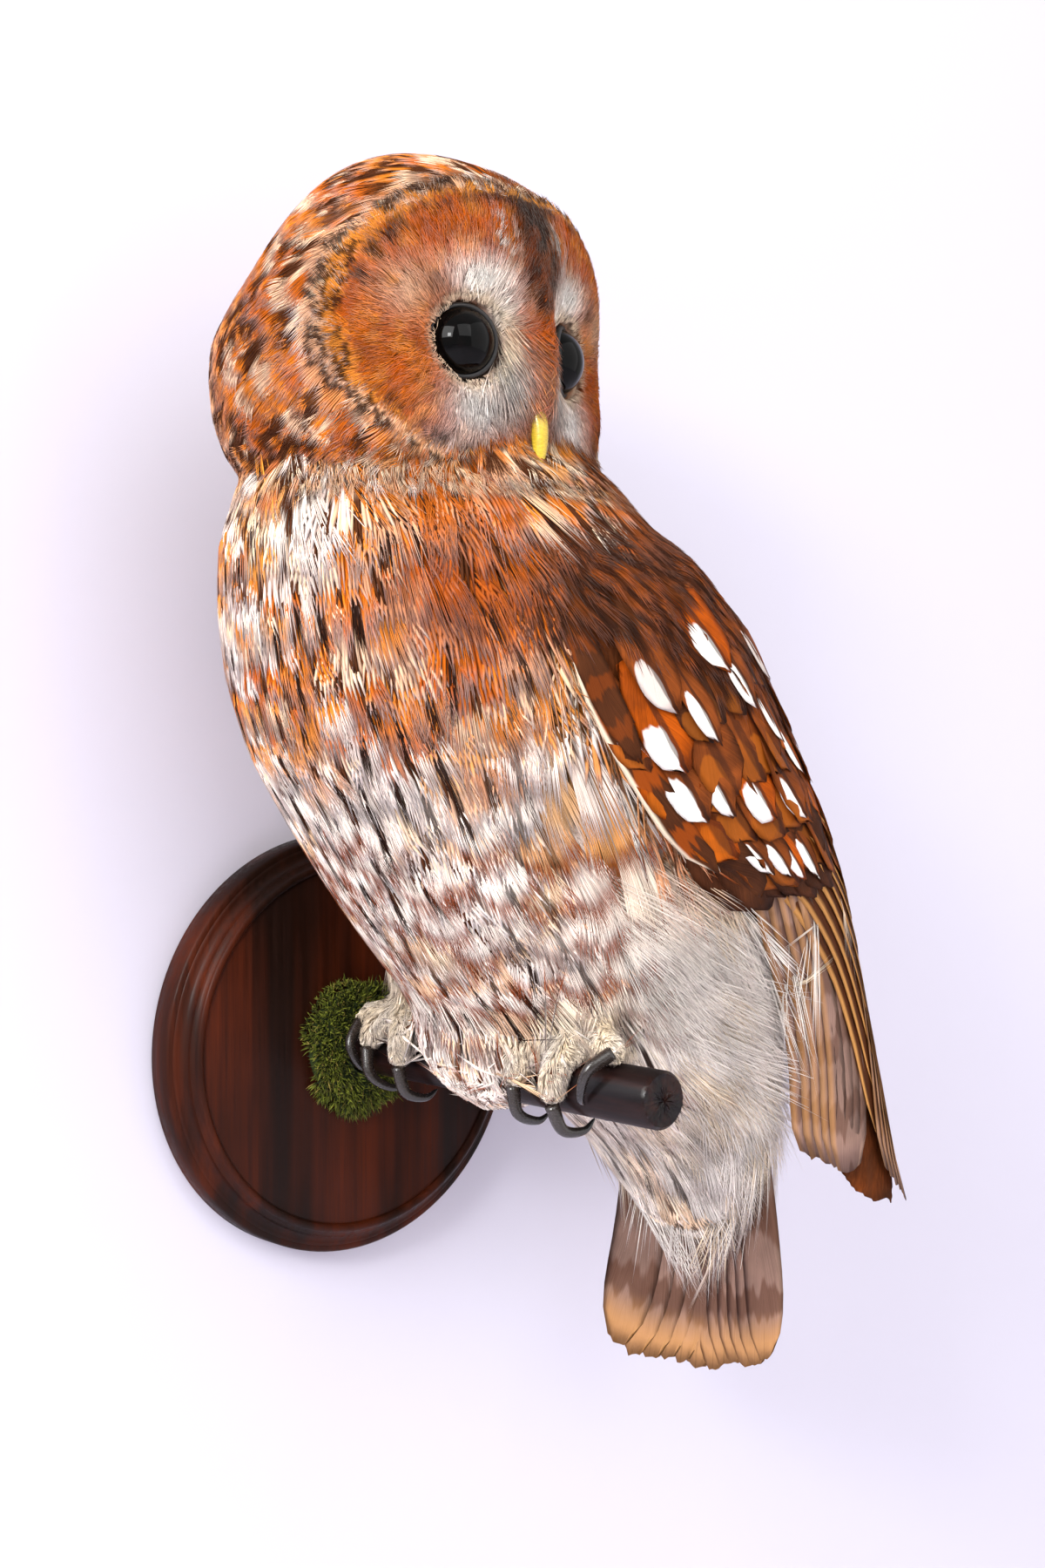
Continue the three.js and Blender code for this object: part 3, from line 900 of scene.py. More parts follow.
@dataclass(frozen=True)
class Plan:
    """Places on the bird, in metres in the row frame."""

    midline: float = -95 * MM
    head: Triple = (-37 * MM, -95 * MM, 215 * MM)
    head_turn: float = math.radians(11)
    eye_side: float = 20.1 * MM
    eye_forward: float = 35.2 * MM
    eye_up: float = -4 * MM
    eye_radius: float = 10.4 * MM
    disc_half: Pair = (56.5 * MM, 41 * MM)
    disc_squareness: float = 2.4
    peg_radius: float = 8.5 * MM
    plaque_face: float = 16.5 * MM
    peg_end: float = 163.5 * MM

    def head_frame(self, points: Array) -> tuple[Array, Array, Array]:
        """Side, forward and up from the head's centre.

        Args:
            points: The places, one to a row, in metres.

        Returns:
            How far each place is to the side, forward and up.
        """
        away = points - np.array(self.head)
        turn, keep = math.sin(self.head_turn), math.cos(self.head_turn)
        return (
            away[..., 0] * keep + away[..., 1] * turn,
            away[..., 0] * turn - away[..., 1] * keep,
            away[..., 2],
        )

    def head_way(self, side: Array, forward: Array, up: Array) -> Array:
        """Rows of directions given to the side, forward and up."""
        turn, keep = math.sin(self.head_turn), math.cos(self.head_turn)
        return np.column_stack([side * keep + forward * turn, side * turn - forward * keep, up])

    def head_point(self, side: float, forward: float, up: float) -> Vector:
        """The place at a distance to the side, forward and up from the head's centre."""
        way = self.head_way(np.array([side]), np.array([forward]), np.array([up]))[0]
        return Vector(self.head) + Vector(way)

    def disc_share(self, points: Array) -> Array:
        """How far out places lie on the facial disc: 0 in its middle and 1 on its rim, and more behind it.

        Args:
            points: The places, one to a row, in metres.

        Returns:
            The share for each place.
        """
        side, forward, up = self.head_frame(points)
        wide, tall = self.disc_half
        power = self.disc_squareness
        share = (np.abs(side / wide) ** power + np.abs(up / tall) ** power) ** (1 / power)
        return np.where(forward > 10 * MM, share, 1.5)

    def eye(self, hand: int) -> Vector:
        """An eye's centre. Hand is 1 for the left eye and -1 for the right."""
        return self.head_point(hand * self.eye_side, self.eye_forward, self.eye_up)


PLAN = Plan()
# Each section's height and the X of its middle, in millimetres, as the trunk's own sections have them.
SPINE = rows_curve([
    [-62, 77], [-40, 71], [-15, 61], [10, 43], [36, 25], [62, 11], [88, -2], [115, -12], [153, -25],
    [178, -32], [206, -36],
])


@dataclass(frozen=True)
class Blot:
    """A soft patch of a colour on the body, the same on both sides: its middle, its reach and its
    strength."""

    colour: Hue
    round_from_front: float
    height: float
    reach: float
    tall: float
    strength: float = 1.0


def laid(ground: Array, colour: Hue, strength: Array) -> Array:
    """Ground colours with another laid over them.

    Args:
        ground: Rows of colours.
        colour: The colour on top.
        strength: How much of it shows at each row, from 0 to 1.

    Returns:
        The mixed rows.
    """
    share = np.clip(strength, 0, 1)[:, None]
    return ground * (1 - share) + hue(colour) * share


def spot(first: Array, second: Array, middle: Pair, reach: Pair) -> Array:
    """A soft round spot on two coordinates, 1 in its middle."""
    return np.exp(-(((first - middle[0]) / reach[0]) ** 2) - ((second - middle[1]) / reach[1]) ** 2)


def on_rim(share: Array) -> Array:
    """Whether shares of the facial disc are on its rim."""
    return np.abs(share - 1.0) < 0.035


class Markings:
    """The plumage's ground colours and marks at any place, for the skin and the coat alike."""

    BODY_BLOTS = (
        Blot(Hue.RUFOUS, 44, 132, 14, 24, 0.5),
        Blot(Hue.RUFOUS, 58, 142, 20, 23, 1.0),
        Blot(Hue.CHESTNUT, 58, 140, 17, 19, 0.55),
        Blot(Hue.SAND, 64, 70, 14, 26, 0.85),
        Blot(Hue.WHITE, 70, -32, 90, 24, 1.0),
        Blot(Hue.CREAM, 45, 170, 80, 5, 0.5),
    )

    def __init__(self, guide: Guide) -> None:
        """Keeps the guide, for which part a place is on."""
        self.guide = guide
        self.rng = np.random.default_rng(SEED)

    def ripple(self, points: Array, size: float, seed: int) -> Array:
        """A soft random field between 0 and 1.

        Args:
            points: Rows of places.
            size: The width of its patches.
            seed: The seed of its waves.

        Returns:
            The field's value at each place.
        """
        rng = np.random.default_rng(seed)
        waves = unit(rng.normal(size=(7, 3))) * rng.uniform(0.6, 1.5, (7, 1)) * math.tau / (2.0 * size)
        return 0.5 + 0.5 * np.sin(points @ waves.T + rng.uniform(0, math.tau, 7)).sum(axis=1) / 3.0

    def around(self, points: Array) -> tuple[Array, Array]:
        """Degrees round the trunk from the belly's middle, and the height in millimetres.

        Args:
            points: The places, one to a row, in metres.

        Returns:
            The degrees and the height for each place.
        """
        middle = SPINE(points[:, 2] / MM)[:, 0] * MM
        turn = np.degrees(np.arctan2(np.abs(points[:, 1] - PLAN.midline), middle - points[:, 0]))
        return turn, points[:, 2] / MM

    def chance(self, points: Array) -> Array:
        """A number between 0 and 1 for each place, drawn afresh."""
        return self.rng.random(len(points))

    def body(self, points: Array) -> tuple[Array, Array]:
        """Ground and marks on the neck and trunk.

        Args:
            points: The places, one to a row, in metres.

        Returns:
            The colours of the ground, and the strength of each mark.
        """
        turn, height = self.around(points)
        speckle, own = self.ripple(points, 14 * MM, 3), self.chance(points)
        ground = laid(np.tile(hue(Hue.TAWNY), (len(points), 1)), Hue.BUFF, 1.1 * speckle)
        ground = laid(ground, Hue.RUFOUS, 0.8 * (own > 0.8))
        bulge = spot(turn, height, (58, 142), (20, 23))
        ground = laid(ground, Hue.CREAM, 0.75 * (own < 0.34) * (1 - bulge))
        for blot in self.BODY_BLOTS:
            near = spot(turn, height, (blot.round_from_front, blot.height), (blot.reach, blot.tall))
            ground = laid(ground, blot.colour, near * blot.strength)
        belly = smooth(-height, -104, -70) * smooth(-turn, -96, -66)
        front = spot(turn, height, (0, 125), (30, 50))
        flank = spot(turn, height, (66, 62), (15, 34))
        whiteness = np.clip(
            0.84 * belly + 0.42 * front + 0.1 * spot(turn, height, (45, 166), (60, 8)), 0, 0.88
        )
        whitened = (self.chance(points) < whiteness * (1 - 0.8 * flank) * (1 - bulge)).astype(float)
        ground = laid(ground, Hue.CREAM, 0.6 * belly * (1 - flank))
        ground = laid(ground, Hue.WHITE, 0.72 * whitened)
        back, low = smooth(turn, 104, 130), smooth(-height, -30, 25)
        ground = laid(ground, Hue.CHESTNUT, 0.85 * back * (1 - low))
        fluffy = smooth(turn, 60, 74) * smooth(-height, -66, -36)
        ground = laid(ground, Hue.CREAM, 0.9 * fluffy)
        ground = laid(ground, Hue.WHITE, 0.9 * fluffy * (own > 0.15))
        often = 0.5 + 0.3 * front - 0.3 * bulge
        streak = (
            np.where(self.chance(points) < often, 1.0, 0.1) * (1 - 0.9 * flank - 0.6 * smooth(-height, 5, 40))
            * (1 - 0.9 * fluffy)
        )
        barred = (0.15 + 0.75 * whitened) * smooth(-height, -110, -50) * (1 - flank) * (1 - back)
        bars = barred * (self.chance(points) > 0.35)
        below = (height < 84) & (turn <= 96)
        bars = np.where(below, 0.15 * bars, bars)
        pale = (0.2 + 0.6 * self.chance(points)) * (1 - 0.7 * back) * (1 - 0.9 * bulge)
        tipped = (0.35 + 0.6 * (self.chance(points) > 0.3)) * (1 - 0.8 * fluffy) * smooth(height, -30, 0)
        pale = np.where(below, tipped, pale)
        streak = np.where(
            below, np.maximum(streak, 0.85 * (self.chance(points) < 0.7) * (1 - flank) * (1 - fluffy)), streak
        )
        return ground, np.column_stack([streak, bars, pale])

    def head(self, points: Array) -> tuple[Array, Array]:
        """Ground and marks on the crown, nape and sides of the head.

        Args:
            points: The places, one to a row, in metres.

        Returns:
            The colours of the ground, and the strength of each mark.
        """
        side, forward, up = (part / MM for part in PLAN.head_frame(points))
        patch, own = self.ripple(points, 8 * MM, 5), self.chance(points)
        ground = laid(np.tile(hue(Hue.TAWNY), (len(points), 1)), Hue.BUFF, 0.55 * patch)
        ground = laid(ground, Hue.RUFOUS, 0.7 * (own > 0.66))
        ground = laid(ground, Hue.CREAM, 0.7 * (own < 0.16))
        behind = smooth(-forward, 20, 45)
        ground = laid(ground, Hue.CREAM, 0.5 * behind)
        centre = np.exp(-(((side - 3) / 9) ** 4)) * smooth(up, 24, 38) * smooth(forward, -25, 15)
        ground = laid(ground, Hue.UMBER, 0.75 * centre * (own > 0.25))
        share = PLAN.disc_share(points)
        brim = np.exp(-(((share - 1.02) / 0.035) ** 2)) * (forward > 12)
        ground = laid(ground, Hue.CREAM, 0.45 * brim)
        brow = smooth(up, 30, 38) * np.exp(-(((share - 1.0) / 0.05) ** 2))
        ground = laid(ground, Hue.UMBER, 0.85 * brow * (own > 0.3))
        streak = np.where(self.chance(points) < 0.5 + 0.35 * centre, 1.0, 0.08) * (1 - 0.8 * brim)
        tip = np.where(on_rim(share), 0.9 * (self.chance(points) < 0.55), 0.15 + 0.35 * self.chance(points))
        return ground, np.column_stack([streak * ~on_rim(share), 0.2 * patch, tip])

    def face(self, points: Array) -> tuple[Array, Array]:
        """Ground and marks on the facial disc.

        Args:
            points: The places, one to a row, in metres.

        Returns:
            The colours of the ground, and the strength of each mark.
        """
        side, _, up = (part / MM for part in PLAN.head_frame(points))
        lateral, share = np.abs(side), PLAN.disc_share(points)
        patch = self.ripple(points, 6 * MM, 11)
        ground = laid(np.tile(hue(Hue.TAWNY), (len(points), 1)), Hue.RUFOUS, 0.25 + 0.9 * patch)
        ground = laid(ground, Hue.RUFOUS, 0.9 * spot(lateral, up, (22, 29), (17, 9)))
        ground = laid(ground, Hue.CREAM, 0.45 * spot(lateral, up, (42, 8), (7, 8)))
        ground = laid(ground, Hue.BUFF, 0.45 * smooth(self.ripple(points, 4 * MM, 13), 0.6, 0.85))
        ground = laid(ground, Hue.WHITE, 0.6 * spot(lateral, up, (33, -36), (12, 5)))
        ground = laid(ground, Hue.WHITE, 1.1 * spot(lateral, up, (19, 14), (11, 6)))
        ground = laid(ground, Hue.WHITE, 1.0 * spot(lateral, up, (11, 5), (4.5, 9)))
        ground = laid(ground, Hue.WHITE, 1.1 * spot(lateral, up, (20, -24), (11, 9)))
        ground = laid(ground, Hue.ASH, 1.1 * spot(lateral, up, (9, -16), (6, 12)))
        from_eye = np.hypot(lateral - PLAN.eye_side / MM, up - PLAN.eye_up / MM)
        ground = laid(ground, Hue.CREAM, 0.75 * np.exp(-(((from_eye - 12.5) / 2.4) ** 2)))
        ground = laid(ground, Hue.SEPIA, 0.75 * spot(lateral, up, (12, -8), (2.6, 4)))
        ground = laid(ground, Hue.UMBER, 0.7 * spot(lateral, up, (34, 11), (4, 2.6)))
        ground = laid(ground, Hue.CHESTNUT, 0.9 * spot(lateral, up, (0, -37), (10, 4)))
        ground = laid(ground, Hue.RUFOUS, 0.7 * np.exp(-((lateral / 6) ** 2)) * smooth(up, -12, -2))
        ground = laid(
            ground, Hue.WHITE,
            0.9 * (self.ripple(points, 2.6 * MM, 15) > 0.62) * spot(lateral, up, (11, 27), (4, 8))
        )
        broken = 0.7 + 0.3 * smooth(self.ripple(points, 4 * MM, 14), 0.25, 0.5)
        width = 4.2 + 5.6 * smooth(up, 4, 20)
        wedge = np.exp(-(((side - 0.1 * up) / width) ** 4)) * smooth(up, 1, 9)
        ground = laid(ground, Hue.SEPIA, wedge * broken)
        inside = np.exp(-(((share - 0.93) / 0.04) ** 2)) * (smooth(up, 2, 12) + smooth(-up, 16, 22))
        fleck = smooth(self.ripple(points, 2.6 * MM, 12), 0.42, 0.6)
        ground = laid(ground, Hue.SEPIA, 0.95 * inside * fleck)
        ground = laid(ground, Hue.UMBER, 0.6 * smooth(up, 35, 39) * smooth(share, 0.85, 0.93))
        ground = laid(ground, Hue.BUFF, 0.7 * smooth(share, 0.965, 0.98))
        calm = np.tile([0.04, 0.0, 0.15], (len(points), 1))
        calm[:, 2] = np.where(on_rim(share), 0.9 * (self.chance(points) < 0.55), 0.15)
        return ground, calm

    def wing(self, points: Array) -> tuple[Array, Array]:
        """Ground and marks of the skin under the wing's vanes.

        Args:
            points: The places, one to a row, in metres.

        Returns:
            The colours of the ground, and the strength of each mark.
        """
        patch = self.ripple(points, 8 * MM, 21)[:, None]
        ground = hue(Hue.UMBER) * (1 - patch) + hue(Hue.CHESTNUT) * patch
        return ground, np.column_stack(
            [np.full(len(points), 0.8), patch[:, 0] * 0.3, np.full(len(points), 0.1)]
        )

    def leg(self, points: Array) -> tuple[Array, Array]:
        """Ground and marks on the legs and feet.

        Args:
            points: The places, one to a row, in metres.

        Returns:
            The colours of the ground, and the strength of each mark.
        """
        patch = self.ripple(points, 6 * MM, 31)[:, None]
        ground = hue(Hue.CREAM) * (1 - 0.5 * patch) + hue(Hue.WHITE) * 0.5 * patch
        return ground, np.tile([0.03, 0.0, 0.2], (len(points), 1))

    def at(self, points: Array, parts: Array) -> tuple[Array, Array]:
        """Ground colours and marks at places on given parts.

        Args:
            points: Rows of places.
            parts: The index in PARTS of each place's part.

        Returns:
            The ground colours, and the marks with a seed in the last column.
        """
        ground, marks = np.zeros((len(points), 3)), np.zeros((len(points), 3))
        groups = (
            ((Part.HEAD,), self.head),
            ((Part.FACE,), self.face),
            ((Part.NECK, Part.TRUNK), self.body),
            (WINGS, self.wing),
            (LEGS + FEET, self.leg),
        )
        for members, rule in groups:
            chosen = np.isin(parts, indices(members))
            if chosen.any():
                ground[chosen], marks[chosen] = rule(points[chosen])
        seeds = self.rng.random(len(points))
        return np.clip(ground, 0, 1), np.column_stack([np.clip(marks, 0, 1), seeds])


def unwrap(points: Array, parts: Array) -> Array:
    """Each place on an unwrap of the skin: the head round its centre, the wings flat, and the rest round the
    spine.

    Args:
        points: Rows of places.
        parts: The index in PARTS of each place's part.

    Returns:
        Rows of places on the map, from 0.02 to 0.98.
    """
    out = np.zeros((len(points), 2))
    turned = np.isin(parts, indices((Part.HEAD, Part.FACE)))
    away = unit(points[turned] - np.array(PLAN.head))
    out[turned, 0] = np.arctan2(away[:, 0], away[:, 1]) / math.tau + 0.5
    out[turned, 1] = np.arccos(np.clip(away[:, 2], -1, 1)) / math.pi
    flat = np.isin(parts, indices(WINGS))
    middle = SPINE(points[~turned & ~flat, 2] / MM)[:, 0] * MM
    rest = points[~turned & ~flat]
    out[~turned & ~flat, 0] = np.arctan2(rest[:, 1] - PLAN.midline, rest[:, 0] - middle) / math.tau + 0.5
    out[~turned & ~flat, 1] = (rest[:, 2] / MM + 70) / 280
    wing = points[flat] / MM
    shift = np.where(wing[:, 1] < PLAN.midline / MM, 0.0, 0.5)
    out[flat, 0] = shift + 0.5 * np.clip((wing[:, 0] + 60) / 210, 0, 1)
    out[flat, 1] = np.clip((wing[:, 2] + 70) / 265, 0, 1)
    return 0.02 + 0.96 * np.clip(out, 0, 1)


# ---- Plumage ----

PATCH = 0.003
STATIONS = {1: np.array([0.0, 0.5, 1.0]), 2: np.array([0.0, 0.3, 0.68, 1.0])}


def spindle_faces(rings: int) -> Array:
    """The triangles of a closed strand: its root, its rings of three and its tip.

    Args:
        rings: How many rings of three the strand has.

    Returns:
        Three vertex numbers for each triangle.
    """
    faces, last = [], 3 * rings + 1
    for k in range(3):
        j = (k + 1) % 3
        faces.append((0, 1 + j, 1 + k))
        for ring in range(rings - 1):
            low, high = 1 + 3 * ring, 4 + 3 * ring
            faces += [(low + k, low + j, high + j), (low + k, high + j, high + k)]
        faces.append((last - 3 + k, last - 3 + j, last))
    return np.array(faces)


def spindles(line: Array, side: Array, normal: Array, width: Array, plump: float) -> Array:
    """Closed strands along centre lines.

    Args:
        line: The centre lines, as strands × stations × 3.
        side: Unit vectors across each strand, as strands × stations × 3.
        normal: Unit vectors out of the coat, as strands × stations × 3.
        width: Each strand's widest width.
        plump: Its thickness as a share of its width.

    Returns:
        The vertices, as strands × vertices × 3.
    """
    rings = line.shape[1] - 2
    out = np.empty((len(line), 3 * rings + 2, 3))
    out[:, 0], out[:, -1] = line[:, 0], line[:, -1]
    for ring in range(1, rings + 1):
        half = (width * 0.42)[:, None]
        base = 3 * ring - 2
        out[:, base] = line[:, ring] - side[:, ring] * half - normal[:, ring] * half * plump * 0.4
        out[:, base + 1] = line[:, ring] + side[:, ring] * half - normal[:, ring] * half * plump * 0.4
        out[:, base + 2] = line[:, ring] + normal[:, ring] * half * plump
    return out


@dataclass(frozen=True)
class Tuft:
    """The sizes of one kind of soft feather, which is a fan of strands."""

    length: float
    width: float
    strands: int
    depth: float
    lift: float
    strand_width: float
    ragged: float = 0.16
    plump: float = 0.5
    stray: float = 0.12
    rings: int = 2
    mottle: float = 0.14
    clear: float = 4.5 * MM
    tall: float = 1.0
    free: bool = False


class Coat:
    """Lays soft feathers on the guide."""

    def __init__(self, guide: Guide, markings: Markings) -> None:
        """Keeps the guide and markings.

        Args:
            guide: The surface the coat grows on.
            markings: The colours of each place.
        """
        self.guide = guide
        self.markings = markings
        self.faces = {rings: spindle_faces(rings) for rings in STATIONS}

    def traced(
        self, stations: Array, roots: Array, normals: Array, heading: Array, length: Array, depth: float,
        lift: Array,
        free: bool = False,
    ) -> tuple[Array, Array, Array]:
        """Centre lines that leave the skin and settle on the guide, or splay free of it.

        Args:
            stations: The shares of a strand's length at which it is placed.
            roots: Places on the guide over the roots.
            normals: The guide's normals there.
            heading: The way each strand points.
            length: Each strand's length.
            depth: How deep the roots lie.
            lift: How far each tip stands out of the guide.
            free: Whether the strands run straight on instead of settling.

        Returns:
            The lines, the unit vectors across them and the normals, each as strands × stations × 3.
        """
        line, side, up = (np.empty((len(roots), len(stations), 3)) for _ in range(3))
        spot, normal, way = roots.copy(), normals.copy(), heading.copy()
        for k, share in enumerate(stations):
            if k:
                spot = spot + way * (length * (share - stations[k - 1]))[:, None]
            if k and not free:
                spot, normal = self.guide.nearest(spot)
            way = across(way, normal)
            line[:, k] = spot + normal * (lift * share**2 - depth * (1 - share) ** 3)[:, None]
            side[:, k] = unit(np.cross(way, normal))
            up[:, k] = normal
        return line, side, up

    def fans(
        self, kind: Tuft, roots: Array, normals: Array, heading: Array, parts: Array, seed: int
    ) -> Gathering:
        """Soft feathers, each a fan of strands from one root.

        Args:
            kind: The feathers' sizes.
            roots: Their places on the guide.
            normals: The guide's normals there.
            heading: The way each feather points.
            parts: The index in PARTS of each feather's part.
            seed: The seed of the draw.

        Returns:
            The strands.
        """
        rng = np.random.default_rng(seed)
        n, m = len(roots), kind.strands
        heading = across(heading + rng.normal(0, kind.stray, (n, 3)), normals)
        seen = self.guide.nearest(roots + heading * (kind.length * 0.28))[0]
        ground, marks = self.markings.at(seen, self.guide.parts(seen))
        side = unit(np.cross(heading, normals))
        u = np.tile(np.linspace(-1, 1, m), (n, 1)) + rng.normal(0, 0.25 / m, (n, m))
        rim = np.sqrt(np.clip(1 - 0.75 * np.clip(u, -1, 1) ** 2, 0.05, 1))
        reach = kind.length * (0.55 + 0.45 * rim) * (1 + rng.normal(0, kind.ragged, (n, m)))
        half = kind.width / 2
        start = roots[:, None] + side[:, None] * (u * half * 0.45)[..., None]
        start = start - heading[:, None] * (reach * 0.5)[..., None] * (0.9 + 0.1 * u**2)[..., None]
        toward = unit(heading[:, None] + side[:, None] * (u * half * 0.75 / reach)[..., None])
        start, normal = self.guide.nearest(start.reshape(-1, 3))
        reach = reach.reshape(-1)
        toward = across(toward.reshape(-1, 3), normal)
        lift = kind.lift * rng.uniform(0.2, 1.0, n * m)
        stations = STATIONS[kind.rings]
        line, sides, ups = self.traced(stations, start, normal, toward, reach, kind.depth, lift, kind.free)
        width = kind.strand_width * rng.uniform(0.75, 1.25, n * m)
        points = spindles(line, sides, ups, width, kind.plump)
        beside = np.array([0.0, *([-1.0, 1.0, 0.0] * kind.rings), 0.0])
        u_map = (u.reshape(-1)[:, None] * 0.5 + 0.5) + beside * 0.35 / m
        v_map = np.array([0.0, *np.repeat(stations[1:-1], 3), 1.0])
        vane = np.stack([np.clip(u_map, 0, 1), np.broadcast_to(v_map, u_map.shape)], axis=-1)
        home = unwrap(start, np.repeat(parts, m))
        patch = np.stack([np.broadcast_to(beside * 0.5, u_map.shape), vane[..., 1]], axis=-1)
        bake = home[:, None] + patch * PATCH
        made = Gathering()
        tint = rng.uniform(1 - kind.mottle, 1 + kind.mottle, (n * m, 1))
        made.add(
            points, self.faces[kind.rings], vane, bake, np.repeat(ground, m, axis=0) * tint,
            np.repeat(marks, m, axis=0)
        )
        return made


def lie(points: Array, normals: Array, parts: Array) -> Array:
    """The way the feathers point at places on the body.

    Args:
        points: Rows of places.
        normals: The guide's normals there.
        parts: The index in PARTS of each place's part.

    Returns:
        Unit vectors along the surface.
    """
    tangent = SPINE(points[:, 2] / MM - 4)[:, 0] - SPINE(points[:, 2] / MM + 4)[:, 0]
    way = np.column_stack([tangent / 8, np.zeros(len(points)), -np.ones(len(points))])
    side, forward, up = PLAN.head_frame(points)
    of_head = parts == PARTS.index(Part.HEAD)
    outward = np.sign(side)
    level = np.ones(len(points))
    crown = PLAN.head_way(outward * 0.25, -0.95 * level, -0.7 * level)
    way[of_head] = crown[of_head]
    of_face = parts == PARTS.index(Part.FACE)
    aside, above = side - outward * PLAN.eye_side, up - PLAN.eye_up
    away = np.hypot(aside, above)
    middle = 0.5 * np.exp(-((side / (6 * MM)) ** 2)) * smooth(up, -10 * MM, 5 * MM)
    radial = PLAN.head_way(aside / away, np.zeros(len(points)), above / away + middle)
    way[of_face] = radial[of_face]
    on_wing = np.isin(parts, indices(WINGS))
    way[on_wing] = np.array([0.62, 0.0, -0.78])
    return across(way, normals)


# ---- Skin ----


@dataclass
class Skin:
    """One closed skin under the whole plumage, which stands for every node of flesh."""

    guide: Guide
    markings: Markings
    depths: dict[Part, float] = field(default_factory=lambda: {
        Part.HEAD: 2.4 * MM, Part.FACE: 2.0 * MM, Part.NECK: 3.6 * MM, Part.TRUNK: 3.8 * MM,
        Part.WING_LEFT: 3.0 * MM, Part.WING_RIGHT: 3.0 * MM, Part.LEG_LEFT: 1.5 * MM,
        Part.LEG_RIGHT: 1.5 * MM,
        Part.FOOT_LEFT: 1.1 * MM, Part.FOOT_RIGHT: 1.1 * MM,
    })
    thinnest: float = 0.36

    def build(self) -> bpy.types.Object:
        """Draws the guide in by the coat's depth and dresses it.

        Returns:
            The skin's object.
        """
        guide = self.guide
        parts = guide.parts(guide.points)
        depth = np.array([self.depths[part] for part in PARTS])[parts]
        for index, (point, normal) in enumerate(zip(guide.points.tolist(), guide.normals.tolist())):
            inward = -Vector(normal)
            hit = guide.tree.ray_cast(Vector(point) + inward * 2e-4, inward, 0.03)
            if hit[3] is not None:
                depth[index] = min(depth[index], hit[3] * self.thinnest)
        mesh = guide.mesh.copy()
        drawn = guide.points - guide.normals * depth[:, None]
        mesh.vertices.foreach_set("co", drawn.astype(np.float32).ravel())
        bm = bmesh.new()
        bm.from_mesh(mesh)
        for _ in range(2):
            bmesh.ops.smooth_vert(
                bm, verts=bm.verts, factor=0.5, use_axis_x=True, use_axis_y=True, use_axis_z=True
            )
        for face in bm.faces:
            face.smooth = True
        bm.to_mesh(mesh)
        bm.free()
        ground, marks = self.markings.at(guide.points, parts)
        # Painted shade: the skin takes the plumage's ground colours at 0.8, darker for the shade under the
        # coat.
        for label, rows in (
            ("ground", np.column_stack([ground * 0.8, np.ones(len(ground))])), ("marks", marks)
        ):
            layer = mesh.attributes.new(label, "FLOAT_COLOR", "POINT")
            layer.data.foreach_set("color", rows.astype(np.float32).ravel())
        return piece_from("skin", mesh, SkinFinish().material(), [part.value for part in PARTS])


# ---- Soft plumage ----


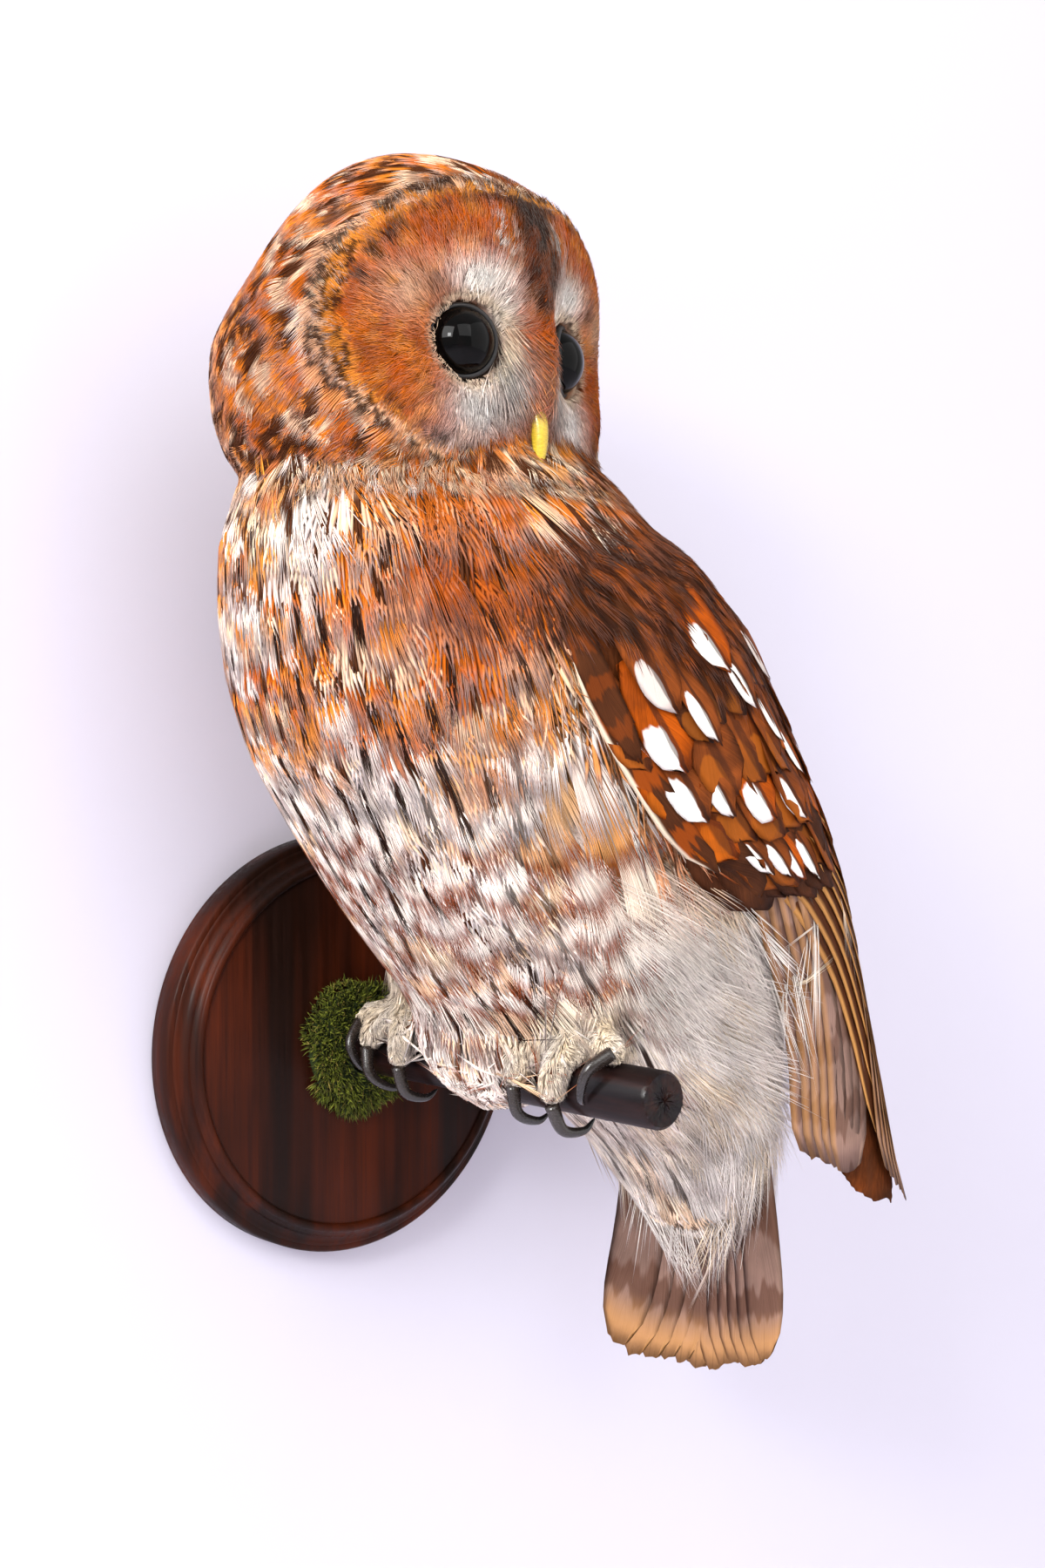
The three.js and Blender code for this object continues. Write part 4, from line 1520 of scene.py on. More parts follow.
@dataclass
class SoftPlumage:
    """The soft feathers of the body, head, face and feet."""

    coat: Coat
    under: Tuft = Tuft(26 * MM, 15 * MM, 12, 3.4 * MM, 0.2 * MM, 1.5 * MM)
    breast: Tuft = Tuft(42 * MM, 12 * MM, 38, 2.6 * MM, 0.8 * MM, 0.42 * MM, 0.12, mottle=0.17, tall=2.3)
    crown: Tuft = Tuft(17 * MM, 9 * MM, 24, 2.2 * MM, 0.4 * MM, 0.44 * MM, 0.12, mottle=0.17)
    ruff: Tuft = Tuft(8 * MM, 3 * MM, 9, 1.2 * MM, 1.6 * MM, 0.4 * MM, 0.16, 0.6, 0.2, mottle=0.15)
    disc: Tuft = Tuft(9 * MM, 2.2 * MM, 6, 1.5 * MM, 0.8 * MM, 0.3 * MM, 0.25, 0.6, 0.25, 1, 0.32)
    lash: Tuft = Tuft(4 * MM, 1.5 * MM, 5, 0.8 * MM, 0.5 * MM, 0.24 * MM, 0.2, 0.6, 0.2, 1, clear=1.4 * MM)
    bristle: Tuft = Tuft(
        14 * MM, 3 * MM, 5, 1.0 * MM, 2.8 * MM, 0.34 * MM, 0.22, 0.6, 0.1, mottle=0.45, clear=3 * MM
    )
    belly: Tuft = Tuft(44 * MM, 15 * MM, 44, 2.6 * MM, 0.9 * MM, 0.44 * MM, 0.08, mottle=0.1, tall=2.2)
    fluff: Tuft = Tuft(
        40 * MM, 16 * MM, 30, 2.4 * MM, 1.5 * MM, 0.22 * MM, 0.24, 0.6, 0.2, mottle=0.08, free=True
    )
    settled: Tuft = Tuft(38 * MM, 16 * MM, 24, 2.4 * MM, 1.2 * MM, 0.32 * MM, 0.2, 0.6, 0.14, mottle=0.08)
    hanging: Tuft = Tuft(
        40 * MM, 12 * MM, 22, 2.4 * MM, 1.0 * MM, 0.32 * MM, 0.24, 0.6, 0.1, mottle=0.1, free=True
    )
    shoulder: Tuft = Tuft(20 * MM, 10 * MM, 22, 2.4 * MM, 0.6 * MM, 0.5 * MM, mottle=0.2)
    down: Tuft = Tuft(8 * MM, 3 * MM, 8, 1.0 * MM, 1.0 * MM, 0.34 * MM, 0.2, 0.6, 0.25, 1)

    def sow(
        self,
        name: str,
        kind: Tuft,
        spacing: float,
        tries: int,
        members: Sequence[Part],
        finish: PlumageFinish,
        seed: int,
        most: int = 1,
        only: Callable[[Array], Array] | None = None,
        turn: Callable[[Array, Array], Array] | None = None,
    ) -> None:
        """Scatters one kind of feather over some parts.

        Args:
            name: The pieces' name.
            kind: The feathers' sizes.
            spacing: The least distance between two roots.
            tries: How many places to try.
            members: The parts that carry them.
            finish: Their finish.
            seed: The seed of the draw.
            most: How many pieces to split them over.
            only: Says which places are wanted, from their rows.
            turn: Changes the way the feathers point, from their places and headings.
        """
        guide = self.coat.guide
        wanted = indices(members)
        roots, normals = guide.scatter(
            spacing, tries, seed, lambda middle: np.isin(guide.parts(middle), wanted), kind.tall
        )
        parts = guide.parts(roots)
        eyes = [np.array(PLAN.eye(hand)) for hand in (1, -1)]
        off_eyes = (
            np.min([np.linalg.norm(roots - eye, axis=1) for eye in eyes], axis=0) > PLAN.eye_radius
            + kind.clear
        )
        kept = np.isin(parts, wanted) & off_eyes
        if only is not None:
            kept = kept & only(roots)
        roots, normals, parts = roots[kept], normals[kept], parts[kept]
        heading = lie(roots, normals, parts)
        if turn is not None:
            heading = across(turn(roots, heading), normals)
        material = finish.material()
        for share, index in enumerate(np.array_split(np.argsort(roots[:, 2]), most)):
            made = self.coat.fans(
                kind, roots[index], normals[index], heading[index], parts[index], seed + share
            )
            label = f"{name}_{share + 1}" if most > 1 else name
            piece_from(label, made.mesh(label), material)

    def on_chin(self, points: Array) -> Array:
        """Whether places are under the facial disc, where the feathers are very short."""
        _, forward, up = (part / MM for part in PLAN.head_frame(points))
        return (forward > 6) & (up < -33) & (up > -52) & (PLAN.disc_share(points) >= 1)

    def off_chin(self, points: Array) -> Array:
        """Whether places are anywhere but under the facial disc."""
        return ~self.on_chin(points)

    def by_rim(self, points: Array) -> Array:
        """Whether places are on the rim of the facial disc."""
        return np.abs(PLAN.disc_share(points) - 0.985) < 0.035

    def near_eye(self, points: Array) -> Array:
        """Whether places are in the ring of very short feathers round an eye."""
        far = [np.linalg.norm(points - np.array(PLAN.eye(hand)), axis=1) for hand in (1, -1)]
        return np.min(far, axis=0) < PLAN.eye_radius + 6 * MM

    def near_bill(self, points: Array) -> Array:
        """Whether places are on the bristly skin between the eyes and the bill.

        Args:
            points: The places, one to a row, in metres.

        Returns:
            A true value for each place that is.
        """
        side, _, up = (part / MM for part in PLAN.head_frame(points))
        lateral = np.abs(side)
        return (lateral < 17) & (up > -21) & (up < 0) & (lateral > 1.5)

    def from_bill(self, points: Array, heading: Array) -> Array:
        """The way the bristles point: in a fan down from the inner corner of each eye.

        Args:
            points: The places, one to a row, in metres.
            heading: The way the coat lies there.

        Returns:
            The bristles' heading at each place.
        """
        side, _, up = (part / MM for part in PLAN.head_frame(points))
        aside = np.abs(side) - 13
        return PLAN.head_way(np.sign(side) * aside * 0.8, np.full(len(points), 2.0), np.minimum(up + 1, -6))

    def on_breast(self, points: Array) -> Array:
        """Whether places are above the belly or on the back."""
        turn, height = self.coat.markings.around(points)
        return (height >= 84) | (turn > 96)

    def on_belly(self, points: Array) -> Array:
        """Whether places are on the belly or its sides."""
        return ~self.on_breast(points)

    def on_vent(self, points: Array) -> Array:
        """Whether places are under the tail's root."""
        turn, height = self.coat.markings.around(points)
        return (height < -26) & (turn < 118)

    def well_covered(self, points: Array) -> Array:
        """Whether places are so far from the wings' edges that broad under-feathers stay hidden."""
        turn, height = self.coat.markings.around(points)
        return ~((turn > 58) & (turn < 140) & (height < 95))

    def on_flank(self, points: Array) -> Array:
        """Whether places are low on the flanks or by the vent, where long down hangs."""
        turn, height = self.coat.markings.around(points)
        return (height < 58) & (height > -34) & (turn > 64) & (turn < 128)

    def outer_flank(self, points: Array) -> Array:
        """Whether places are on the flank that faces away from the wall, where the down stands free."""
        return self.on_flank(points) & (points[:, 1] < PLAN.midline)

    def wall_flank(self, points: Array) -> Array:
        """Whether places are on the flank by the wall, where the down lies close."""
        return self.on_flank(points) & ~self.outer_flank(points)

    def over_wing(self, points: Array, heading: Array) -> Array:
        """The way the flank's down points: down and back over the wing."""
        _, height = self.coat.markings.around(points)
        return heading + np.array([0.6, 0.0, 0.0]) * smooth(height, -40, 20)[:, None]

    def on_shoulder(self, points: Array) -> Array:
        """Whether places are on the small coverts of the wing's bend."""
        return points[:, 2] / MM + 0.35 * points[:, 0] / MM > 122

    def build(self) -> None:
        """Lays all the soft plumage."""
        plain = PlumageFinish("under_feathers", bars=2.0, streak=Hue.UMBER)
        streaked = PlumageFinish("breast_feathers", bars=1.4, streak_root=0.05, streak_grow=0.11)
        crowned = PlumageFinish("head_feathers", streak=Hue.UMBER, bars=2.0, streak_root=0.1, streak_grow=0.3)
        lobed = PlumageFinish(
            "belly_feathers", pale=Hue.RUFOUS, bars=1.0, streak_root=0.04, streak_grow=0.07, tip=(0.7, 0.84)
        )
        soft = PlumageFinish("flank_feathers", streak=Hue.CREAM)
        shoulder = PlumageFinish("shoulder_feathers", bars=1.5, streak_root=0.06, streak_grow=0.14)
        face = PlumageFinish("face_feathers", streak=Hue.UMBER)
        ruffed = PlumageFinish("ruff_feathers", pale=Hue.SEPIA, tip=(0.5, 0.7))
        self.sow(
            "under_plumage", self.under, 7.5 * MM, 26000, (Part.TRUNK,), plain, 101, 2,
            self.well_covered
        )
        self.sow(
            "breast_plumage", self.breast, 7.6 * MM, 30000, (Part.TRUNK,), streaked, 151, 2,
            self.on_breast
        )
        self.sow(
            "belly_plumage", self.belly, 9.0 * MM, 30000, (Part.TRUNK,), lobed, 161, 2,
            self.on_belly
        )
        self.sow(
            "vent_down", self.hanging, 6.4 * MM, 12000, (Part.TRUNK,), soft, 181, 1, self.on_vent
        )
        self.sow(
            "flank_down", self.fluff, 6.4 * MM, 26000, (Part.TRUNK,), soft, 171, 1, self.outer_flank,
            self.over_wing
        )
        self.sow(
            "wall_down", self.settled, 7.0 * MM, 24000, (Part.TRUNK,), soft, 191, 1, self.wall_flank
        )
        self.sow(
            "head_plumage", self.crown, 4.9 * MM, 30000, (Part.HEAD, Part.NECK), crowned, 202, 2,
            self.off_chin
        )
        self.sow(
            "chin_plumage", self.disc, 1.7 * MM, 26000, (Part.HEAD, Part.NECK), face, 222, 1,
            self.on_chin
        )
        self.sow(
            "ruff_plumage", self.ruff, 2.1 * MM, 40000, (Part.HEAD, Part.FACE), ruffed, 242, 1,
            self.by_rim
        )
        self.sow("face_plumage", self.disc, 1.35 * MM, 70000, (Part.FACE,), face, 303, 2)
        self.sow("eye_ring", self.lash, 1.0 * MM, 20000, (Part.FACE,), face, 333, 1, self.near_eye)
        self.sow(
            "bristles", self.bristle, 1.5 * MM, 20000, (Part.FACE,), face, 353, 1, self.near_bill,
            self.from_bill
        )
        self.sow(
            "shoulder_plumage", self.shoulder, 5.8 * MM, 26000, WINGS, shoulder, 383, 1,
            self.on_shoulder
        )
        self.sow(
            "foot_down", self.down, 1.9 * MM, 16000, LEGS + FEET,
            PlumageFinish("foot_feathers", streak=Hue.SAND), 404
        )


# ---- Vanes ----


@dataclass(frozen=True)
class Vane:
    """One stiff feather: where its root and tip lie on a sheet, its widest width, and its colours.

    A place on a sheet is its share of the sheet's length and its place across, from -1 to 1.
    """

    root: Pair
    tip: Pair
    width: float
    ground: Hue
    marks: Triple
    under: Hue | None = None
    sink: float = 2.4 * MM
    lift: float = 0.4 * MM
    tip_from: float = 0.62
    blunt: float = 0.25


class Sheet:
    """A surface that stiff feathers are laid on, read by its length and width."""

    def place(self, share: Array, wide: Array) -> tuple[Array, Array]:
        """The places on the sheet and its normals."""
        raise NotImplementedError


class VaneWork:
    """Builds stiff feathers as thin closed lenses on a sheet."""

    def __init__(
        self, sheet: Sheet, seed: int, columns: int = 7, rows: int = 9, thickness: float = 0.45 * MM
    ) -> None:
        """Keeps the sheet, the grid's fineness and the feathers' thickness.

        Args:
            sheet: The sheet that the feathers lie on.
            seed: The seed of the random draws.
            columns: How many places each feather has across.
            rows: How many it has along.
            thickness: The feathers' thickness.
        """
        self.sheet, self.thickness = sheet, thickness
        self.columns, self.rows = columns, rows
        self.rng = np.random.default_rng(seed)
        self.faces, self.edge = self.lens_faces()

    def lens_faces(self) -> tuple[Array, Array]:
        """The triangles of a lens whose two grids share their edge, and which grid places are on the edge.

        Returns:
            The triangles, and a true value for each grid place on the edge.
        """
        n, m = self.columns, self.rows
        index = np.arange(n * m).reshape(m, n)
        edge = np.zeros((m, n), bool)
        edge[0], edge[-1], edge[:, 0], edge[:, -1] = True, True, True, True
        below = np.where(edge, index, index + n * m)
        faces = []
        for grid, turned in ((index, False), (below, True)):
            a, b, c, d = grid[:-1, :-1], grid[:-1, 1:], grid[1:, 1:], grid[1:, :-1]
            quads = np.stack([a, b, c, d], axis=-1).reshape(-1, 4)
            quads = quads[:, ::-1] if turned else quads
            faces += [quads[:, [0, 1, 2]], quads[:, [0, 2, 3]]]
        return np.concatenate(faces), edge.ravel()

    def build(self, vanes: Sequence[Vane], spread: float = 1.0) -> Gathering:
        """Lays the feathers.

        Args:
            vanes: The feathers, from the last row to the first.
            spread: 1 where the u axis runs towards the sheet's -1 side, and -1 where it runs the other way.

        Returns:
            The lenses.
        """
        made = Gathering()
        v = np.linspace(0, 1, self.rows)[:, None]
        u = np.linspace(-1, 1, self.columns)[None, :]
        for vane in vanes:
            share = vane.root[0] + (vane.tip[0] - vane.root[0]) * v[:, 0]
            wide = vane.root[1] + (vane.tip[1] - vane.root[1]) * v[:, 0]
            spine, normal = self.sheet.place(share, wide)
            along = unit(np.gradient(spine, axis=0))
            side = unit(np.cross(normal, along)) * spread
            past = np.clip((v - vane.tip_from) / (1 - vane.tip_from), 0, 1)
            outline = np.clip(v / 0.3, 0.25, 1) ** 0.6 * np.sqrt(1 - (1 - vane.blunt**2) * past**2.4)
            half = vane.width / 2 * outline
            bend = 0.1 * u**2 * past * vane.width
            place = spine[:, None] + side[:, None] * (u * half)[..., None] - along[:, None] * bend[..., None]
            rise = -vane.sink * (1 - v) ** 1.2 + vane.lift * v - 0.35 * MM * u**2 - 0.3 * MM * u
            place = place + normal[:, None] * rise[..., None]
            place = (
                place
                + self.rng.normal(0, 0.12 * MM, (1, self.columns, 1)) * along[:, None] * past[..., None] * 4
            )
            top = place.reshape(-1, 3)
            thick = np.repeat(normal, self.columns, axis=0) * self.thickness
            points = np.concatenate([top, top - thick])[None]
            grid = np.stack(np.broadcast_arrays(0.5 - u * 0.5, v), axis=-1).reshape(-1, 2)
            vane_map = np.concatenate([grid, grid])
            home = self.sheet.home(vane)
            bake = home + (vane_map - 0.5) * PATCH * 2.0
            tint = self.rng.uniform(0.85, 1.12)
            upper = np.tile(hue(vane.ground) * tint, (len(top), 1))
            lower = np.tile(hue(vane.under or vane.ground) * tint, (len(top), 1))
            marks = np.array([[*vane.marks, self.rng.random()]])
            made.add(
                points, self.faces, vane_map[None], bake[None], np.concatenate([upper, lower])[None], marks
            )
        return made


WING_ROWS = rows_curve([
    [0, -25, 20, 184, -52, 62, 158, 6], [
        0.2, 38, 9, 165, -38, 73, 115, 27
    ], [0.4, 80, 8, 121, -2, 74, 74, 24],
    [0.6, 104, 11, 66, 42, 64, 46, 20], [0.8, 123, 21, 12, 74, 51, 6, 13], [1, 141, 40, -60, 85, 46, -42, 5],
])
TAIL_ROWS = rows_curve([[0, 66, 52, 22], [0.35, 80, -6, 34], [0.7, 84, -66, 38], [1, 80, -108, 39]])


@dataclass
class WingSheet(Sheet):
    """The outer face of a folded wing: 1 across is the edge on the back and -1 the edge on the flank."""

    guide: Guide
    hand: int
    free_from: float = 0.52

    def analytic(self, share: Array, wide: Array, above: float) -> Array:
        """A place from the wing's own lines, a distance above its outer face.

        Args:
            share: How far along the wing each place is.
            wide: How far across it is, from -1 to 1.
            above: Its distance above the outer face.

        Returns:
            The places in metres.
        """
        dx, dy, dz, vx, vy, vz, bulge = WING_ROWS(share).T * MM
        past = np.maximum(share - 1, 0)[:, None] * np.array([0.3, 0.0, -1.0]) * 240 * MM
        dorsal = np.column_stack([dx, PLAN.midline - self.hand * dy, dz])
        ventral = np.column_stack([vx, PLAN.midline - self.hand * vy, vz])
        outwards = np.array([0.45, -0.85 * self.hand, 0.15])
        outwards = outwards / np.linalg.norm(outwards)
        depth = 5 * MM * (1.2 - 0.6 * share) * np.sqrt(np.clip(1 - wide**2, 0, 1))
        out = bulge * (1 - np.clip(wide, -1, 1) ** 2) + depth + above
        return (
            (dorsal + ventral) / 2 + (dorsal - ventral) / 2 * wide[:, None] + out[:, None] * outwards + past
        )

    def place(self, share: Array, wide: Array) -> tuple[Array, Array]:
        """The places on the wing and its normals.

        Args:
            share: How far along the wing each place is.
            wide: How far across it is, from -1 to 1.

        Returns:
            The places in metres and the normals.
        """
        step = 0.02
        spot = self.analytic(share, wide, 0.0)
        ahead = self.analytic(share + step, wide, 0.0) - self.analytic(share - step, wide, 0.0)
        aside = (
            self.analytic(share, np.clip(wide + step, -1, 1), 0.0)
            - self.analytic(share, np.clip(wide - step, -1, 1), 0.0)
        )
        normal = unit(np.cross(ahead, aside)) * self.hand
        seat, guide_normal = self.guide.nearest(self.analytic(share, wide, 4 * MM))
        free = smooth(share, self.free_from, self.free_from + 0.12)[:, None]
        return seat * (1 - free) + spot * free, unit(guide_normal * (1 - free) + normal * free)

    def home(self, vane: Vane) -> Array:
        """The feather's place on the unwrap."""
        shift = 0.02 if self.hand > 0 else 0.52
        return np.array([shift + 0.23 * (1 - vane.root[1]) / 2, 0.04 + 0.9 * vane.root[0]])


@dataclass
class TailSheet(Sheet):
    """The closed tail: -1 across is the owl's left side, and its normal looks forward, out of the
    underside."""

    cup: float = 6 * MM
    slant: float = 7 * MM

    def place(self, share: Array, wide: Array) -> tuple[Array, Array]:
        """The places on the tail and its normals.

        Args:
            share: How far along the tail each place is.
            wide: How far across it is, from -1 to 1.

        Returns:
            The places in metres and the normals.
        """
        x, z, width = TAIL_ROWS(share).T * MM
        past = np.maximum(share - 1, 0) * 160 * MM
        spot = np.column_stack(
            [x - self.cup * wide**2, PLAN.midline + width * wide, z - past - self.slant * wide * share**4]
        )
        normal = unit(np.column_stack([-np.ones_like(wide), -0.25 * wide, np.zeros_like(wide)]))
        return spot, normal

    def home(self, vane: Vane) -> Array:
        """The feather's place on the unwrap."""
        return np.array([0.5 + 0.45 * vane.tip[1], 0.1 + 0.8 * vane.root[0]])


@dataclass(frozen=True)
class CovertRow:
    """A row of coverts: how many, the span across, where along the wing it starts, and each feather's
    make."""

    count: int
    low: float
    high: float
    start: float
    reach: float
    slope: float
    width: float
    hues: tuple[Hue, ...]
    marks: Triple


BROWN = (Hue.CHESTNUT, Hue.UMBER, Hue.CHESTNUT)
WARM = (Hue.RUFOUS, Hue.CHESTNUT, Hue.CHESTNUT)


@dataclass
class WingPlumage:
    """Both wings' stiff feathers, from the flight feathers up to the small coverts.

    The feathers with white outer webs are given by their place across, where they end along the wing, their
    width in
    millimetres and how white they are.
    """

    guide: Guide
    COVERT_ROWS: ClassVar[tuple[CovertRow, ...]] = (
        CovertRow(7, -0.97, -0.3, 0.42, 0.16, 0.02, 17 * MM, (Hue.UMBER,), (0.5, 0.3, 0.0)),
        CovertRow(12, -0.75, 0.95, 0.38, 0.17, 0.05, 17 * MM, BROWN, (0.5, 0.5, 0.2)),
        CovertRow(12, -0.85, 0.95, 0.31, 0.16, 0.05, 19 * MM, WARM, (0.6, 0.3, 0.3)),
        CovertRow(13, -0.9, 0.95, 0.25, 0.14, 0.05, 18 * MM, WARM, (0.65, 0.25, 0.3)),
        CovertRow(13, -0.92, 0.9, 0.2, 0.11, 0.05, 15 * MM, BROWN, (0.7, 0.2, 0.3)),
    )
    WHITE_WEBS: ClassVar[tuple[tuple[float, float, float, float], ...]] = (
        (-0.8, 0.525, 8, 1.0), (-0.7, 0.545, 8, 1.0), (-0.6, 0.56, 8, 1.0), (-0.46, 0.57, 8, 1.0),
        (-0.3, 0.485, 13, 1.0), (-0.54, 0.455, 17, 1.0), (-0.76, 0.415, 10, 1.0), (-0.88, 0.4, 16, 1.0),
        (-0.84, 0.335, 17, 1.0), (-0.62, 0.33, 11, 0.9), (-0.74, 0.275, 14, 0.6), (0.0, 0.45, 11, 1.0),
        (-0.1, 0.39, 13, 1.0), (-0.26, 0.33, 12, 1.0), (-0.32, 0.275, 15, 1.0), (0.18, 0.34, 11, 0.6),
    )

    def flight(self) -> list[Vane]:
        """The long feathers of the wing tip and the feathers of its hind edge.

        Returns:
            The feathers.
        """
        rows = []
        for k in range(5):
            c = -1.0 + 0.1 * k
            rows.append(
                Vane(
                    (0.42, c * 0.8), (0.945 + 0.005 * k, c * 0.96), 17 * MM, Hue.DRAB, (0.1, 0.5, 0.4),
                    Hue.SAND, blunt=0.6, tip_from=0.86
                )
            )
        for k in range(5):
            c = 0.15 + 0.12 * k
            rows.append(
                Vane(
                    (0.42, c * 0.8), (0.958 + 0.006 * k, c), 17 * MM, Hue.DRAB, (0.1, 0.5, 0.3), Hue.SAND,
                    blunt=0.4, tip_from=0.82
                )
            )
        for k in range(10):
            c = -0.95 + 0.12 * k
            rows.append(
                Vane(
                    (0.4, c), (0.92 - 0.04 * k, c * 0.5 + 0.42), 13 * MM, Hue.UMBER, (0.1, 0.2, 0.9),
                    Hue.SAND, tip_from=0.7
                )
            )
        for k in range(7):
            c = 0.95 - 0.15 * k
            rows.append(
                Vane(
                    (0.3, c), (0.9 - 0.05 * k, c * 0.9 + 0.05), 18 * MM, Hue.CHESTNUT, (0.3, 0.8, 0.1),
                    Hue.SAND
                )
            )
        return rows

    def covert_row(self, rng: np.random.Generator, row: CovertRow) -> list[Vane]:
        """One row of coverts, each a little out of line with the next.

        Args:
            rng: The draw that the rows share.
            row: The row's sizes and colours.

        Returns:
            The row's feathers.
        """
        vanes = []
        for c in np.linspace(row.low, row.high, row.count):
            c = float(np.clip(c + rng.normal(0, 0.015), -0.99, 0.99))
            s = row.start + row.slope * (c + 1) / 2 + rng.normal(0, 0.006)
            mark = tuple(float(np.clip(m * rng.uniform(0.8, 1.15), 0, 1)) for m in row.marks)
            ground = row.hues[int(rng.integers(len(row.hues)))]
            tip = (s + row.reach * rng.uniform(0.93, 1.07), c - 0.04)
            vanes.append(Vane((s, c), tip, row.width * rng.uniform(0.9, 1.1), ground, mark))
        return vanes

    def coverts(self) -> list[Vane]:
        """The overlapping rows over the flight feathers' roots."""
        rng = np.random.default_rng(55)
        return [vane for row in self.COVERT_ROWS for vane in self.covert_row(rng, row)]

    def white_webs(self) -> list[Vane]:
        """The feathers with white outer webs, which lie on top.

        Returns:
            The feathers.
        """
        rows = []
        for k, (c, end, width, white) in enumerate(self.WHITE_WEBS):
            ground = (Hue.CHESTNUT, Hue.CHESTNUT, Hue.RUFOUS)[k % 3]
            rows.append(
                Vane(
                    (end - 0.14, c + 0.05), (end, c), width * MM, ground, (0.7, 0.25, white), sink=1.8 * MM,
                    lift=1.3 * MM
                )
            )
        return rows

    def leading(self) -> list[Vane]:
        """The stiff feathers along the wing's front edge.

        Returns:
            The feathers.
        """
        return [
            Vane(
                (0.12, -0.95), (0.48, -1.02), 10 * MM, Hue.UMBER, (0.2, 0.5, 1.0), Hue.SAND, sink=1.2 * MM,
                lift=1.7 * MM, tip_from=0.5, blunt=0.1
            ),
            Vane(
                (0.08, -0.92), (0.3, -0.98), 9 * MM, Hue.UMBER, (0.3, 0.2, 0.0), Hue.SAND, sink=1.2 * MM,
                lift=1.6 * MM, tip_from=0.5, blunt=0.2
            ),
        ]

    def build(self) -> None:
        """Lays both wings' stiff feathers."""
        flight_finish = PlumageFinish(
            "flight_feathers", bar=Hue.UMBER, pale=Hue.SAND, bars=6.0, barbs=120.0, pattern=Pattern.EDGE,
            roughness=0.5,
            streak_root=0.012, streak_grow=0.0, stiff=True,
        ).material()
        covert_finish = PlumageFinish(
            "covert_feathers", bar=Hue.SEPIA, pale=Hue.TAWNY, bars=1.6, barbs=60.0, pattern=Pattern.SPOT,
            roughness=0.6,
            streak_root=0.05, streak_grow=0.08, stiff=True, cloudy=(0.5, 1.35),
        ).material()
        web_finish = PlumageFinish(
            "web_feathers", bar=Hue.SEPIA, bars=1.2, barbs=60.0, pattern=Pattern.SPOT, roughness=0.6,
            spot_at=(0.77, 0.74), spot_half=(0.25, 0.24), streak_root=0.04, streak_grow=0.05, stiff=True,
            cloudy=(0.55, 1.3),
        ).material()
        edge_finish = PlumageFinish(
            "leading_feathers", bar=Hue.RUFOUS, pale=Hue.CREAM, bars=4.0, barbs=90.0, pattern=Pattern.EDGE,
            streak_root=0.02, streak_grow=0.0, stiff=True,
        ).material()
        for side, hand in (("left", 1), ("right", -1)):
            sheet = WingSheet(self.guide, hand)
            slim = VaneWork(sheet, 60 + hand, rows=16)
            tiles = VaneWork(sheet, 70 + hand)
            for name, work, vanes, finish in (
                ("flight", slim, self.flight(), flight_finish),
                ("coverts", tiles, self.coverts(), covert_finish),
                ("webs", tiles, self.white_webs(), web_finish),
                ("leading", slim, self.leading(), edge_finish),
            ):
                label = f"wing_{side}_{name}"
                piece_from(label, work.build(vanes, hand).mesh(label), finish)


@dataclass
class TailPlumage:
    """The twelve tail feathers, which lie in a closed fan."""

    pairs: int = 6
    feather_width: float = 21 * MM
    layer: float = 0.7 * MM

    def build(self) -> None:
        """Lays the tail feathers, the middle pair on top."""
        vanes = []
        for k in range(self.pairs):
            for hand in (1, -1):
                c = hand * (0.1 + 0.16 * k)
                end = 1.0 - 0.012 * k if k else 0.99
                level = (self.pairs - 1 - k) * self.layer - 0.2 * MM
                vanes.append(
                    Vane(
                        (0.02, c * 0.4), (end + 0.01 * math.sin(5 * k), c), self.feather_width, Hue.DRAB,
                        (0.2, 0.6, 0.6), Hue.SAND, sink=level, lift=-level, tip_from=0.8, blunt=0.4
                    )
                )
        finish = PlumageFinish(
            "tail_feathers", bar=Hue.UMBER, pale=Hue.SAND, bars=5.0, barbs=120.0, tip=(0.86, 0.97),
            streak_root=0.012, streak_grow=0.0, stiff=True
        ).material()
        made = VaneWork(TailSheet(), 90, rows=18).build(vanes)
        piece_from("tail_feathers", made.mesh("tail_feathers"), finish, ["tail"])


# ---- Eyes, bill and claws ----


